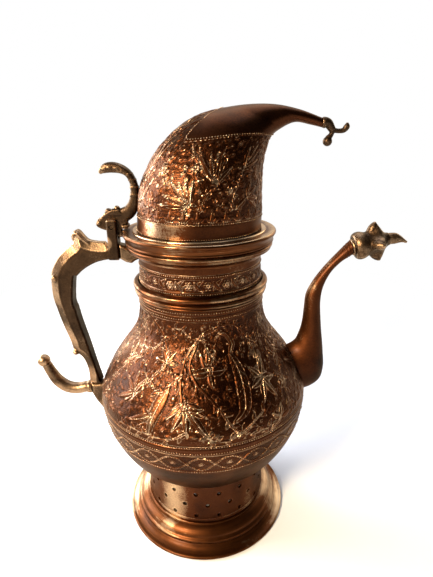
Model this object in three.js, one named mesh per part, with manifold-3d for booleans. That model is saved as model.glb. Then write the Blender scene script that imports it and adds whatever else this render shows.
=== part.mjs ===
// A raised-copper coffee pot with a pierced foot, a swan-neck spout, a cast brass handle and a
// horn-shaped lid that tilts back on a hinge when its thumb-piece is pressed.
// Millimetres, +Z up. The spout points along +X and the handle along -X.
import * as THREE from "three";
import { mergeVertices } from "three/addons/utils/BufferGeometryUtils.js";
import Module from "manifold-3d";

const wasm = await Module();
wasm.setup();

// Driving dimensions: metal and fits
const SHEET = 1.5; // thickness of the raised copper sheet
const SEAM = 0.3; // gap left for solder where two pieces meet
const LID_GAP = 0.35; // height of the air gap between mouth and lid
const PIVOT_GAP = 0.2; // running clearance round the hinge pin and beside the lever
const BEZEL_GAP = 1.0; // radial room that lets the lid's bezel swing out of the neck

// Driving dimensions: foot
const FOOT_RADIUS = 58.3;
const FOOT_RIM_WIDTH = 3.0; // wired edge that the pot stands on
const FOOT_RIM_HEIGHT = 2.0;
const BASE_HEIGHT = 16.0; // flared base, up to the drum
const DRUM_RADIUS = 42.6;
const FOOT_HEIGHT = 49.0; // top of the pierced drum
const SPIGOT_HEIGHT = 3.0; // lip of the base that stands inside the drum
const HOLE_ROWS = [21.5, 31.0, 40.0]; // heights of the rows of holes
const HOLES_PER_ROW = 17;
const HOLE_TURN = -2.5; // degrees that the rows are turned from the spout's side
const HOLE_RADIUS = 1.5;

// Driving dimensions: belly and neck
const BELLY_FLOOR = 46.5; // underside of the closed bottom
const BELLY_RADIUS = 69.6;
const BELLY_WAIST = 101.0; // height of the widest ring, where the two halves are joined
const SHOULDER_TOP = 174.5;
const NECK_FOOT_RADIUS = 39.6;
const NECK_RADIUS = 38.2;
const MOUTH_HEIGHT = 204.5;
const RIM_RADIUS = 45.2;
const RIM_DEPTH = 8.0;
const RING_HEIGHT = 176.4; // middle of the half-round ring that covers the neck seam
const RING_REACH = 42.7;
const RING_HALF = 4.5;

// Driving dimensions: lid
const FLANGE_RADIUS = 47.1;
const FLANGE_HEIGHT = 7.2;
const BEZEL_DEPTH = 4.0; // how far the bezel reaches down into the neck
const LID_RADIUS = 37.9;
const COWL_HEIGHT = 69.0;
const LID_REACH = 71.5; // how far the horn's tip stands out from the pot's axis

// Driving dimensions: hinge, handle and thumb-piece
const PIN_RADIUS = 1.3;
const PIN_OUT = 6.3; // from the flange's edge out to the hinge axis
const PIN_UP = 9.0; // from the mouth up to the hinge axis
const HANDLE_WIDTH = 10.0;
const LEVER_WIDTH = 4.0;
const EAR_HALF = 3.1; // half of an ear's breadth
const EAR_TOP = 4.5; // from the hinge axis up to the ear's end
const PIN_RECESS = 0.8; // how far the pin ends lie inside the ears

// Driving dimensions: spout
const SPOUT_WALL = 1.2;
const STRAINER_RADIUS = 2.8;
const STRAINER_PITCH = 8.0;
const BUD_LENGTH = 23.0;
const BEAK_LENGTH = 11.4;

// Facet counts
const BODY_SIDES = 36;
const SMALL_SIDES = 12;

// Derived heights
const FLANGE_FOOT = MOUTH_HEIGHT + LID_GAP;
const FLANGE_TOP = FLANGE_FOOT + FLANGE_HEIGHT;
const COWL_FOOT = FLANGE_TOP + SEAM;
const HINGE = { x: -(FLANGE_RADIUS + PIN_OUT), z: MOUTH_HEIGHT + PIN_UP };

const lerp = THREE.MathUtils.lerp;

// Materials, as the metal looks in daylight
const metal = (color, roughness) => new THREE.MeshStandardMaterial({ color, roughness, metalness: 1 });
const COPPER = { color: 0xb06a3c, roughness: 0.34 };
const POLISHED_COPPER = { color: 0xc27a48, roughness: 0.24 };
const CAST_BRASS = { color: 0x9c8150, roughness: 0.45 };

const pot = new THREE.Group();
const lid = new THREE.Group();

function place(group, name, geometry, finish) {
  const mesh = new THREE.Mesh(geometry, metal(finish.color, finish.roughness));
  mesh.name = name;
  group.add(mesh);
}

// Solids

// A geometry from shared points and triangles, turned so that its faces point out.
function closedGeometry(points, triangles) {
  let volume = 0;
  for (let i = 0; i < triangles.length; i += 3) {
    const [a, b, c] = [points[triangles[i]], points[triangles[i + 1]], points[triangles[i + 2]]];
    volume += a.dot(b.clone().cross(c));
  }
  const index = volume >= 0 ? triangles : [...triangles].reverse();
  const geometry = new THREE.BufferGeometry();
  geometry.setAttribute("position", new THREE.Float32BufferAttribute(points.flatMap((p) => p.toArray()), 3));
  geometry.setIndex(index);
  return geometry;
}

function bands(rings, count, wraps) {
  const triangles = [];
  const last = wraps ? rings : rings - 1;
  for (let i = 0; i < last; i++) {
    const next = (i + 1) % rings;
    for (let j = 0; j < count; j++) {
      const k = (j + 1) % count;
      triangles.push(i * count + j, next * count + j, next * count + k);
      triangles.push(i * count + j, next * count + k, i * count + k);
    }
  }
  return triangles;
}

// A skin over a row of rings with the same number of points, closed by a cap at each end.
function loft(rings) {
  const count = rings[0].length;
  const points = rings.flat();
  const triangles = bands(rings.length, count, false);
  for (const [ring, start] of [[0, 0], [rings.length - 1, (rings.length - 1) * count]]) {
    const middle = new THREE.Vector3();
    for (const point of rings[ring]) middle.addScaledVector(point, 1 / count);
    const centre = points.push(middle) - 1;
    for (let j = 0; j < count; j++) {
      const k = (j + 1) % count;
      if (ring === 0) triangles.push(centre, start + j, start + k);
      else triangles.push(centre, start + k, start + j);
    }
  }
  return closedGeometry(points, triangles);
}

// A tube wall: outer rings one way and inner rings back, joined at both open ends.
function loftWall(outer, inner) {
  const rings = [...outer, ...[...inner].reverse()];
  return closedGeometry(rings.flat(), bands(rings.length, rings[0].length, true));
}

// An ellipse round a centre, given its two half axes as vectors.
function ellipse(centre, across, along, sides, bulge = () => 1) {
  return Array.from({ length: sides }, (_, i) => {
    const turn = (2 * Math.PI * i) / sides;
    const swell = bulge(turn);
    return centre
      .clone()
      .addScaledVector(across, swell * Math.cos(turn))
      .addScaledVector(along, swell * Math.sin(turn));
  });
}

// A body of revolution about Z from [radius, height] pairs that go round its section counter-clockwise.
function turned(profile, sides = BODY_SIDES) {
  const closed = profile[0][0] > 0 ? [...profile, profile[0]] : profile;
  const points = closed.map(([radius, height]) => new THREE.Vector2(radius, height));
  return new THREE.LatheGeometry(points, sides).rotateX(Math.PI / 2);
}

// The same outline moved inwards by a wall, for an outline that runs upwards with the metal on its left.
function inset(outline, wall) {
  const normals = outline.slice(1).map(([r, z], i) => {
    const [dr, dz] = [r - outline[i][0], z - outline[i][1]];
    const length = Math.hypot(dr, dz);
    return [-dz / length, dr / length];
  });
  return outline.map(([r, z], i) => {
    const before = normals[Math.max(i - 1, 0)];
    const after = normals[Math.min(i, normals.length - 1)];
    const sum = [before[0] + after[0], before[1] + after[1]];
    const scale = (2 * wall) / (sum[0] ** 2 + sum[1] ** 2);
    return [Math.max(r + sum[0] * scale, 0), z + sum[1] * scale];
  });
}

// A sheet wall on that outline, cut level at each end that isn't on the axis.
function sheetWall(outline, wall = SHEET) {
  const inner = inset(outline, wall);
  for (const end of [0, outline.length - 1]) {
    const [radius, height] = outline[end];
    if (radius > 0) inner[end] = [radius - wall, height];
  }
  return [...outline, ...inner.reverse()];
}

// Points along a cubic curve between two [radius, height] ends with their two handles.
function sweepLine(start, leave, arrive, end, steps) {
  const vectors = [start, leave, arrive, end].map(([r, z]) => new THREE.Vector2(r, z));
  return new THREE.CubicBezierCurve(...vectors).getPoints(steps).map((p) => [p.x, p.y]);
}

function toSolid(geometry) {
  const bare = geometry.clone();
  bare.deleteAttribute("normal");
  bare.deleteAttribute("uv");
  const merged = mergeVertices(bare, 1e-4);
  const corners = merged.index.array;
  const triangles = [];
  for (let i = 0; i < corners.length; i += 3) {
    const [a, b, c] = corners.slice(i, i + 3);
    if (a !== b && b !== c && c !== a) triangles.push(a, b, c);
  }
  return new wasm.Manifold(
    new wasm.Mesh({
      numProp: 3,
      vertProperties: merged.attributes.position.array,
      triVerts: new Uint32Array(triangles),
    }),
  );
}

function toGeometry(solid) {
  const mesh = solid.getMesh();
  const geometry = new THREE.BufferGeometry();
  geometry.setAttribute("position", new THREE.Float32BufferAttribute(mesh.vertProperties, mesh.numProp));
  geometry.setIndex(Array.from(mesh.triVerts));
  return geometry;
}

const union = (geometries) => toGeometry(geometries.map(toSolid).reduce((all, one) => all.add(one)));
const cut = (geometry, tools) =>
  toGeometry(tools.map(toSolid).reduce((all, one) => all.subtract(one), toSolid(geometry)));

// A flat plate standing in the XZ plane, centred on y = 0, with its edges chamfered. Its outline is given
// as [x, z] pairs.
function plate(outline, width, bevel = 0) {
  let edge = outline.map(([x, z]) => new THREE.Vector2(x, z));
  if (THREE.ShapeUtils.isClockWise(edge)) edge = edge.reverse();
  const face = edge.map((point, i) => {
    const before = point.clone().sub(edge.at(i - 1)).normalize();
    const after = edge[(i + 1) % edge.length].clone().sub(point).normalize();
    const inward = new THREE.Vector2(-before.y - after.y, before.x + after.x);
    return point.clone().addScaledVector(inward, (2 * bevel) / inward.lengthSq());
  });
  const ring = (line, y) => line.map((point) => new THREE.Vector3(point.x, y, point.y));
  const rings = [ring(face, -width / 2), ring(face, width / 2)];
  if (bevel > 0) rings.splice(1, 0, ring(edge, bevel - width / 2), ring(edge, width / 2 - bevel));
  const triangles = bands(rings.length, edge.length, false);
  const far = (rings.length - 1) * edge.length;
  for (const [a, b, c] of THREE.ShapeUtils.triangulateShape(face, [])) {
    triangles.push(a, b, c, far + a, far + c, far + b);
  }
  return closedGeometry(rings.flat(), triangles);
}

// A rod along Y.
function crossRod(x, z, radius, length, sides = SMALL_SIDES) {
  return new THREE.CylinderGeometry(radius, radius, length, sides).translate(x, 0, z);
}

// A limb in the plane y = 0 through stations of [x, z, half depth, half width], with closed ends.
function limb(stations, steps, sides = SMALL_SIDES) {
  const line = new THREE.CatmullRomCurve3(stations.map(([x, z]) => new THREE.Vector3(x, 0, z)));
  const girths = stations.map(([, , deep, wide]) => new THREE.Vector3(deep, wide, 0));
  const girth = new THREE.CatmullRomCurve3(girths);
  const rings = [];
  for (let i = 0; i <= steps; i++) {
    const t = i / steps;
    const centre = line.getPoint(t);
    const tangent = line.getTangent(t);
    const normal = new THREE.Vector3(-tangent.z, 0, tangent.x);
    const size = girth.getPoint(t);
    rings.push(ellipse(centre, normal.multiplyScalar(size.x), new THREE.Vector3(0, size.y, 0), sides));
  }
  return loft(rings);
}

const ball = (x, z, radius, stretch = 1) =>
  new THREE.SphereGeometry(radius, SMALL_SIDES, 8).scale(1, 1, stretch).translate(x, 0, z);

// Foot: a flared base with a wired edge, and a pierced drum that stands on it

const WAVE_RADIUS = lerp(DRUM_RADIUS, FOOT_RADIUS, 0.5); // where the base's two mouldings meet
const baseOutline = [
  [FOOT_RADIUS, 0],
  [FOOT_RADIUS, FOOT_RIM_HEIGHT],
  [WAVE_RADIUS + 0.6, FOOT_RIM_HEIGHT + 3.6],
  [WAVE_RADIUS, BASE_HEIGHT * 0.5],
  [lerp(DRUM_RADIUS, WAVE_RADIUS, 0.75), BASE_HEIGHT * 0.68],
  [lerp(DRUM_RADIUS, WAVE_RADIUS, 0.35), BASE_HEIGHT * 0.88],
  [DRUM_RADIUS + 0.6, BASE_HEIGHT],
];
const baseInside = inset(baseOutline, SHEET);
const spigotRadius = DRUM_RADIUS - SHEET - SEAM;
place(
  pot,
  "foot_base",
  turned([
    ...baseOutline,
    [spigotRadius, BASE_HEIGHT],
    [spigotRadius, BASE_HEIGHT + SPIGOT_HEIGHT],
    [spigotRadius - SHEET, BASE_HEIGHT + SPIGOT_HEIGHT],
    [spigotRadius - SHEET, baseInside.at(-1)[1]],
    ...baseInside.slice(2, -1).filter((_, i) => i % 2 === 1).reverse(),
    [FOOT_RADIUS - FOOT_RIM_WIDTH, FOOT_RIM_HEIGHT],
    [FOOT_RADIUS - FOOT_RIM_WIDTH, 0],
  ]),
  POLISHED_COPPER,
);

const drumFoot = BASE_HEIGHT + SEAM;
const drumWall = turned(
  sheetWall([
    [DRUM_RADIUS, drumFoot],
    [DRUM_RADIUS, FOOT_HEIGHT],
  ]),
  HOLES_PER_ROW * 2,
);
const drills = HOLE_ROWS.flatMap((height, row) =>
  Array.from({ length: HOLES_PER_ROW }, (_, i) => {
    const share = (i + ((row + 1) % 2) / 2) / HOLES_PER_ROW;
    const turn = share * 2 * Math.PI + THREE.MathUtils.degToRad(HOLE_TURN);
    return new THREE.CylinderGeometry(HOLE_RADIUS, HOLE_RADIUS, 4 * SHEET, 6)
      .rotateZ(Math.PI / 2)
      .translate(DRUM_RADIUS - SHEET / 2, 0, height)
      .rotateZ(turn);
  }),
);
place(pot, "foot_drum", cut(drumWall, drills), COPPER);

// Belly: two raised halves, brazed at the waist

const footSeatRadius = DRUM_RADIUS + SHEET; // just outside the drum the belly leaves its foot
const bowlOutline = [
  [0, BELLY_FLOOR],
  [DRUM_RADIUS * 0.8, BELLY_FLOOR],
  [DRUM_RADIUS - SHEET - 1, FOOT_HEIGHT + SEAM],
  ...sweepLine(
    [footSeatRadius - SHEET / 2, FOOT_HEIGHT + SEAM],
    [lerp(footSeatRadius, BELLY_RADIUS, 0.52), lerp(FOOT_HEIGHT, BELLY_WAIST, 0.15)],
    [BELLY_RADIUS, lerp(FOOT_HEIGHT, BELLY_WAIST, 0.6)],
    [BELLY_RADIUS, BELLY_WAIST - SEAM / 2],
    6,
  ),
];
// The shoulder's sweep as shares: of the height up to the neck, and of the radius still to lose
const SHOULDER_SWEEP = [
  [0, 1], [0.102, 0.97], [0.231, 0.819], [0.34, 0.658], [0.449, 0.47], [0.558, 0.265], [0.667, 0.111],
  [0.8, 0.028], [1, 0],
];
const shoulderFoot = BELLY_WAIST + SEAM / 2;
const shoulderOutline = new THREE.SplineCurve(
  SHOULDER_SWEEP.map(
    ([up, out]) =>
      new THREE.Vector2(lerp(NECK_FOOT_RADIUS, BELLY_RADIUS, out), lerp(shoulderFoot, SHOULDER_TOP, up)),
  ),
)
  .getPoints(10)
  .map((point) => [point.x, point.y]);
place(pot, "belly_bowl", turned(sheetWall(bowlOutline)), COPPER);

// The spout's seat on the shoulder, and the strainer holes behind it
const SEAT = { x: BELLY_RADIUS, z: BELLY_WAIST }; // the spout is laid out from the belly's widest ring
const strainerHeight = BELLY_WAIST + 1.6 * STRAINER_PITCH;
const strainer = [-1, 0, 1].flatMap((row) =>
  (row === 0 ? [-1, 0, 1] : [-0.5, 0.5]).map((column) =>
    new THREE.CylinderGeometry(STRAINER_RADIUS, STRAINER_RADIUS, 20, 8)
      .rotateZ(Math.PI / 2)
      .translate(BELLY_RADIUS - 3, column * STRAINER_PITCH, strainerHeight + row * STRAINER_PITCH * 0.866),
  ),
);
place(pot, "belly_shoulder", cut(turned(sheetWall(shoulderOutline)), strainer), COPPER);

// Neck: a tube, a half-round ring over its lower seam, and a turned rim at the mouth

const neckOutline = [
  [NECK_FOOT_RADIUS, SHOULDER_TOP + SEAM],
  [lerp(NECK_RADIUS, NECK_FOOT_RADIUS, 0.4), RING_HEIGHT + RING_HALF],
  [NECK_RADIUS, lerp(RING_HEIGHT, MOUTH_HEIGHT, 0.45)],
  [NECK_RADIUS, MOUTH_HEIGHT - SEAM],
];
place(pot, "neck_tube", turned(sheetWall(neckOutline)), COPPER);

const ringBore = NECK_FOOT_RADIUS + SEAM;
const ringArc = Array.from({ length: 6 }, (_, i) => {
  const turn = -Math.PI / 2 + (Math.PI * i) / 5;
  const swell = (RING_REACH - ringBore - 0.4) * Math.cos(turn);
  return [ringBore + 0.4 + swell, RING_HEIGHT + RING_HALF * Math.sin(turn)];
});
const ringBack = [[ringBore, RING_HEIGHT + RING_HALF], [ringBore, RING_HEIGHT - RING_HALF]];
place(pot, "neck_ring", turned([...ringArc, ...ringBack]), COPPER);

const rimBore = NECK_RADIUS + SEAM;
const rimFoot = MOUTH_HEIGHT - RIM_DEPTH;
const rimOutline = [
  [rimBore + 0.5, rimFoot],
  [rimBore + 1.1, rimFoot + RIM_DEPTH * 0.12],
  [lerp(rimBore, RIM_RADIUS, 0.45), rimFoot + RIM_DEPTH * 0.31],
  [lerp(rimBore, RIM_RADIUS, 0.7), rimFoot + RIM_DEPTH * 0.49],
  [RIM_RADIUS - 0.4, rimFoot + RIM_DEPTH * 0.71],
  [RIM_RADIUS, MOUTH_HEIGHT - 1.3],
  [RIM_RADIUS, MOUTH_HEIGHT],
];
const rimBack = [[rimBore, MOUTH_HEIGHT], [rimBore, rimFoot]];
place(pot, "mouth_rim", turned([...rimOutline, ...rimBack]), POLISHED_COPPER);

// Lid: flange, bezel, horn-shaped cowl and forked finial

const neckBore = NECK_RADIUS - SHEET;
const bezelRadius = neckBore - BEZEL_GAP;
const flangeBore = bezelRadius + SEAM;
const shelfBore = LID_RADIUS - 2 * SHEET; // the flange's shelf carries the cowl and covers the bezel
const shelfUnder = FLANGE_TOP - 2.2;
place(
  lid,
  "lid_flange",
  turned([
    [flangeBore, FLANGE_FOOT],
    [FLANGE_RADIUS - 1.6, FLANGE_FOOT],
    [FLANGE_RADIUS - 0.9, FLANGE_FOOT + 1.2],
    [FLANGE_RADIUS, FLANGE_TOP - 1.0],
    [FLANGE_RADIUS - 0.8, FLANGE_TOP],
    [LID_RADIUS + 3.0, FLANGE_TOP - 0.6],
    [LID_RADIUS + 2.2, FLANGE_TOP],
    [shelfBore, FLANGE_TOP],
    [shelfBore, shelfUnder],
    [flangeBore, shelfUnder],
  ]),
  POLISHED_COPPER,
);
place(
  lid,
  "lid_bezel",
  turned([
    [bezelRadius - SHEET, MOUTH_HEIGHT - BEZEL_DEPTH],
    [bezelRadius, MOUTH_HEIGHT - BEZEL_DEPTH],
    [bezelRadius, shelfUnder - SEAM],
    [bezelRadius - SHEET, shelfUnder - SEAM],
  ]),
  COPPER,
);

// The cowl's back line, front line and half width, station by station, from its foot to the horn's tip.
// Across is in shares of the lid's radius, or past it in shares of the reach that is left. Up is in shares
// of the cowl's height.
const COWL_STATIONS = [
  { back: [-1.0, 0.0], front: [1.0, 0.0], width: 1.0 },
  { back: [-0.977, 0.143], front: [1.011, 0.13], width: 0.99 },
  { back: [-0.887, 0.404], front: [1.006, 0.382], width: 0.94 },
  { back: [-0.541, 0.706], front: [1.036, 0.598], width: 0.76 },
  { back: [-0.04, 0.91], front: [1.13, 0.75], width: 0.522 },
  { back: [0.565, 0.988], front: [1.266, 0.811], width: 0.306 },
  { back: [1.13, 0.998], front: [1.462, 0.857], width: 0.164 },
  { back: [1.512, 0.957], front: [1.691, 0.836], width: 0.111 },
  { back: [1.857, 0.889], front: [1.857, 0.814], width: 0.071 },
];
const COWL_TIP = COWL_STATIONS.at(-1);
const cowlX = (share) => {
  const past = Math.max(share - 1, 0) / (COWL_TIP.back[0] - 1);
  return LID_RADIUS * Math.min(share, 1) + (LID_REACH - LID_RADIUS) * past;
};

// Rings of the cowl's skin, drawn in by a wall, up to a share of its length.
function cowlRings(wall, share, steps) {
  const spline = (pick) => new THREE.CatmullRomCurve3(COWL_STATIONS.map(pick), false, "centripetal");
  const back = spline(({ back: [x, z] }) => new THREE.Vector3(cowlX(x), 0, COWL_FOOT + COWL_HEIGHT * z));
  const front = spline(({ front: [x, z] }) => new THREE.Vector3(cowlX(x), 0, COWL_FOOT + COWL_HEIGHT * z));
  const width = spline(({ width: w }, i) => new THREE.Vector3(LID_RADIUS * w, i, 0));
  return Array.from({ length: steps + 1 }, (_, i) => {
    const t = (share * i) / steps;
    const [b, f] = [back.getPoint(t), front.getPoint(t)];
    const reach = f.clone().sub(b).multiplyScalar(0.5);
    const half = reach.length();
    const middle = b.add(f).multiplyScalar(0.5);
    reach.multiplyScalar((half - wall) / half);
    return ellipse(middle, reach, new THREE.Vector3(0, width.getPoint(t).x - wall, 0), 32);
  });
}
const cowlSkin = cowlRings(0, 1, 18);
place(lid, "lid_cowl", loft([...cowlSkin.reverse(), ...cowlRings(SHEET, 0.72, 10)]), COPPER);

const hornTip = { x: LID_REACH, z: COWL_FOOT + (COWL_HEIGHT * (COWL_TIP.back[1] + COWL_TIP.front[1])) / 2 };
const finialLimbs = [
  limb([[SEAM, 0, 2.7, 2.7], [SEAM + 1.0, 0, 3.0, 3.0], [3.4, -0.4, 2.7, 2.7], [6.4, -4.2, 2.0, 2.0]], 5, 10),
  limb(
    [
      [6.0, -3.9, 1.5, 1.5], [9.5, -4.6, 1.3, 1.3], [12.8, -4.2, 1.5, 1.5], [14.3, -2.4, 1.8, 1.8],
      [14.7, -0.2, 0.6, 0.6],
    ],
    7,
    8,
  ),
  limb([[6.4, -3.2, 1.9, 1.9], [5.9, -6.2, 1.4, 1.4], [4.2, -8.6, 1.9, 1.9]], 3, 8),
  ball(3.9, -10.2, 2.7),
];
place(lid, "lid_finial", union(finialLimbs).translate(hornTip.x, 0, hornTip.z), CAST_BRASS);

// Thumb-piece: a cast lever with a beak, a knuckle on the pin, a curl for the thumb and a root on the flange

const at = (x, z) => [HINGE.x + x, HINGE.z + z];
const flangeTopAtHinge = COWL_FOOT - HINGE.z;
const leverPlate = plate(
  [
    at(-9.4, -0.2), at(-7.6, 4.4), at(-4.4, 7.8), at(0.6, 10.4), at(4.6, 10.6), at(9.4, 6.0),
    at(9.8, 2.6), at(9.6, flangeTopAtHinge), at(PIN_OUT - 0.4, flangeTopAtHinge), at(PIN_OUT - 0.4, -6.9),
    at(3.5, -6.9), at(3.5, -4.2), at(0, -4.7), at(-4.0, -2.6), at(-7.0, -1.6),
  ],
  LEVER_WIDTH,
);
// Each station of the curl is [share of the room between the hinge and the cowl, height over the hinge,
// half depth, half width]; the curl leans against the cowl.
const cowlRoom = -LID_RADIUS - HINGE.x;
const curlStations = [
  [0.219, 4.6, 3.6, 2.2], [0.490, 6.6, 4.4, 2.5], [0.735, 9.0, 4.0, 2.9], [0.916, 13.6, 3.3, 3.1],
  [0.981, 18.4, 2.8, 3.2], [0.987, 23.4, 2.4, 3.2], [0.916, 28.0, 2.1, 3.3], [0.761, 31.6, 2.2, 3.4],
  [0.516, 33.8, 2.7, 3.5], [0.232, 34.7, 3.1, 3.4], [0.013, 34.5, 3.0, 3.3], [-0.181, 33.2, 2.2, 2.7],
  [-0.297, 31.5, 0.9, 1.4],
].map(([share, z, deep, wide]) => [...at(cowlRoom * share, z), deep, wide]);
const beakLeaf = [[-6.6, 3.6, 2.0, 1.8], [-8.0, 2.0, 1.9, 2.6], [-9.4, 0.2, 1.0, 1.4]].map(
  ([x, z, deep, wide]) => [...at(x, z), deep, wide],
);
const padFront = HINGE.x + PIN_OUT - 0.1;
const rootPad = new THREE.BoxGeometry(3.8, 8.4, 2.2).translate(padFront + 1.9, 0, COWL_FOOT + 1.1);
const grownCowl = loft(cowlRings(-SEAM, 0.6, 12));
place(
  lid,
  "thumb_lever",
  cut(union([leverPlate, limb(curlStations, 16, 10), limb(beakLeaf, 3, 8), rootPad]), [
    crossRod(HINGE.x, HINGE.z, PIN_RADIUS + PIVOT_GAP, HANDLE_WIDTH),
    grownCowl,
  ]),
  CAST_BRASS,
);

// Handle: laid out on the chord from the belly's waist to the foot of the hinge. Each point is [out from the
// chord in millimetres, share of the way up the chord]. The arm's end is tied to the hinge.

const ARM_HEIGHT = MOUTH_HEIGHT - 6.5;
const handlePoint = ([out, share]) => [
  lerp(-BELLY_RADIUS, HINGE.x, share) - out,
  lerp(BELLY_WAIST, ARM_HEIGHT, share),
];
const HANDLE_INNER = [
  [-0.9, 0.953], [5.7, 0.944], [11.5, 0.926], [18.4, 0.882], [22.2, 0.84], [24.7, 0.787], [24.6, 0.712],
  [22.0, 0.595], [18.6, 0.488], [14.1, 0.365], [8.9, 0.215], [3.8, 0.068], [2.0, 0.025],
];
const HANDLE_OUTER = [
  [10.6, 0.025], [11.7, 0.1], [13.2, 0.155], [15.6, 0.21], [18.8, 0.247], [22.3, 0.272], [23.6, 0.3],
  [25.3, 0.355], [30.2, 0.47], [34.9, 0.596], [38.4, 0.718], [39.5, 0.836], [37.3, 0.92], [32.2, 0.998],
  [27.8, 1.04], [26.3, 1.06], [25.8, 1.12], [24.1, 1.14], [22.4, 1.13], [19.7, 1.1], [17.2, 1.076],
  [11.7, 1.062], [6.7, 1.058],
];
const EAR = { left: HINGE.x - EAR_HALF, right: HINGE.x + EAR_HALF, top: HINGE.z + EAR_TOP };
const armTop = handlePoint(HANDLE_OUTER.at(-1))[1];
const armFoot = handlePoint(HANDLE_INNER[0])[1];
const handleBody = plate(
  [
    [EAR.right, armFoot],
    ...HANDLE_INNER.map(handlePoint),
    ...HANDLE_OUTER.map(handlePoint),
    [EAR.left - 0.8, armTop],
    [EAR.left, armTop + 0.9],
    [EAR.left, EAR.top - 0.8],
    [EAR.left + 0.8, EAR.top],
    [EAR.right - 0.8, EAR.top],
    [EAR.right, EAR.top - 0.8],
  ].reverse(),
  HANDLE_WIDTH,
  0.9,
);
const earSlotFloor = armTop + 1.6;
const slotHeight = EAR.top + 2 - earSlotFloor;
const slot = new THREE.BoxGeometry(6 * EAR_HALF, LEVER_WIDTH + 2 * PIVOT_GAP, slotHeight).translate(
  HINGE.x,
  0,
  earSlotFloor + slotHeight / 2,
);
place(
  pot,
  "handle",
  cut(handleBody, [slot, crossRod(HINGE.x, HINGE.z, PIN_RADIUS + PIVOT_GAP, 2 * HANDLE_WIDTH)]),
  CAST_BRASS,
);
place(pot, "hinge_pin", crossRod(HINGE.x, HINGE.z, PIN_RADIUS, HANDLE_WIDTH - 2 * PIN_RECESS), CAST_BRASS);

// Bracket: a cast lug from the arm's end to the neck, under the mouth rim

const grownNeck = turned([
  [0, SHOULDER_TOP],
  [NECK_FOOT_RADIUS + SEAM, SHOULDER_TOP],
  [NECK_RADIUS + SEAM, lerp(RING_HEIGHT, MOUTH_HEIGHT, 0.45)],
  [NECK_RADIUS + SEAM, rimFoot - SEAM],
  [rimBore + 0.6 + SEAM, rimFoot - SEAM],
  ...rimOutline.slice(1).map(([r, z]) => [r + SEAM, z - SEAM]),
  [RIM_RADIUS + SEAM, MOUTH_HEIGHT + 1],
  [0, MOUTH_HEIGHT + 1],
]);
const bracketEnd = EAR.right + SEAM;
const bracketOutline = [
  [bracketEnd, armFoot + 0.2],
  [bracketEnd + 3.4, armFoot - 2.4],
  [bracketEnd + 7.0, armFoot - 3.2],
  [bracketEnd + 8.8, armFoot - 1.8],
  [-NECK_RADIUS, armFoot - 0.4],
  [-NECK_RADIUS, armFoot + 3.0],
  [bracketEnd + 9.0, armFoot + 3.2],
  [bracketEnd + 6.6, armFoot + 5.8],
  [bracketEnd + 3.2, armTop - 2.0],
  [bracketEnd, armTop - 1.0],
];
place(pot, "neck_bracket", cut(plate(bracketOutline, HANDLE_WIDTH - 1.6, 0.6), [grownNeck]), CAST_BRASS);

// Foot of the handle: a cast lug on the belly, and the scrolled tail that springs from it

const grown = ([r, z]) => [r + SEAM, z];
const grownBowl = turned([[0, BELLY_FLOOR], ...bowlOutline.slice(2).map(grown), [0, BELLY_WAIST]]);
const grownShoulder = turned([
  [0, BELLY_WAIST - 1],
  [BELLY_RADIUS + SEAM, BELLY_WAIST - 1],
  ...shoulderOutline.map(grown),
  [0, SHOULDER_TOP],
]);
const lugTop = handlePoint(HANDLE_INNER.at(-1))[1] - SEAM;
const lugOuter = -BELLY_RADIUS - 9.8;
const lugOutline = [
  [lugOuter, lugTop],
  [lugOuter, lugTop - 8.6],
  [lugOuter + 2.2, lugTop - 14],
  [lugOuter + 6.2, lugTop - 22],
  [lugOuter + 11.5, lugTop - 27],
  [lugOuter + 15.5, lugTop - 25],
  [-BELLY_RADIUS + 4, lugTop],
];
place(
  pot,
  "handle_lug",
  cut(plate(lugOutline, HANDLE_WIDTH - 1, 0.8), [grownBowl, grownShoulder]),
  CAST_BRASS,
);

const tailRoot = { x: lugOuter - SEAM, z: lugTop - 4.7 };
const tailStations = [
  [0, 0, 3.9, 3.9], [-3.4, 0, 3.9, 3.9], [-9.4, -1.2, 4.0, 4.0], [-16.8, 0.1, 4.2, 4.2],
  [-23.0, 5.2, 4.1, 4.1], [-27.0, 12.6, 3.6, 3.6], [-29.3, 18.6, 3.4, 3.4],
].map(([x, z, deep, wide]) => [tailRoot.x + x, tailRoot.z + z, deep, wide]);
place(
  pot,
  "handle_tail",
  union([limb(tailStations, 10, 10), ball(tailRoot.x - 30.8, tailRoot.z + 21.4, 4.3)]),
  CAST_BRASS,
);

// Spout: a flattened root on the shoulder that narrows to a swan neck

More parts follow.
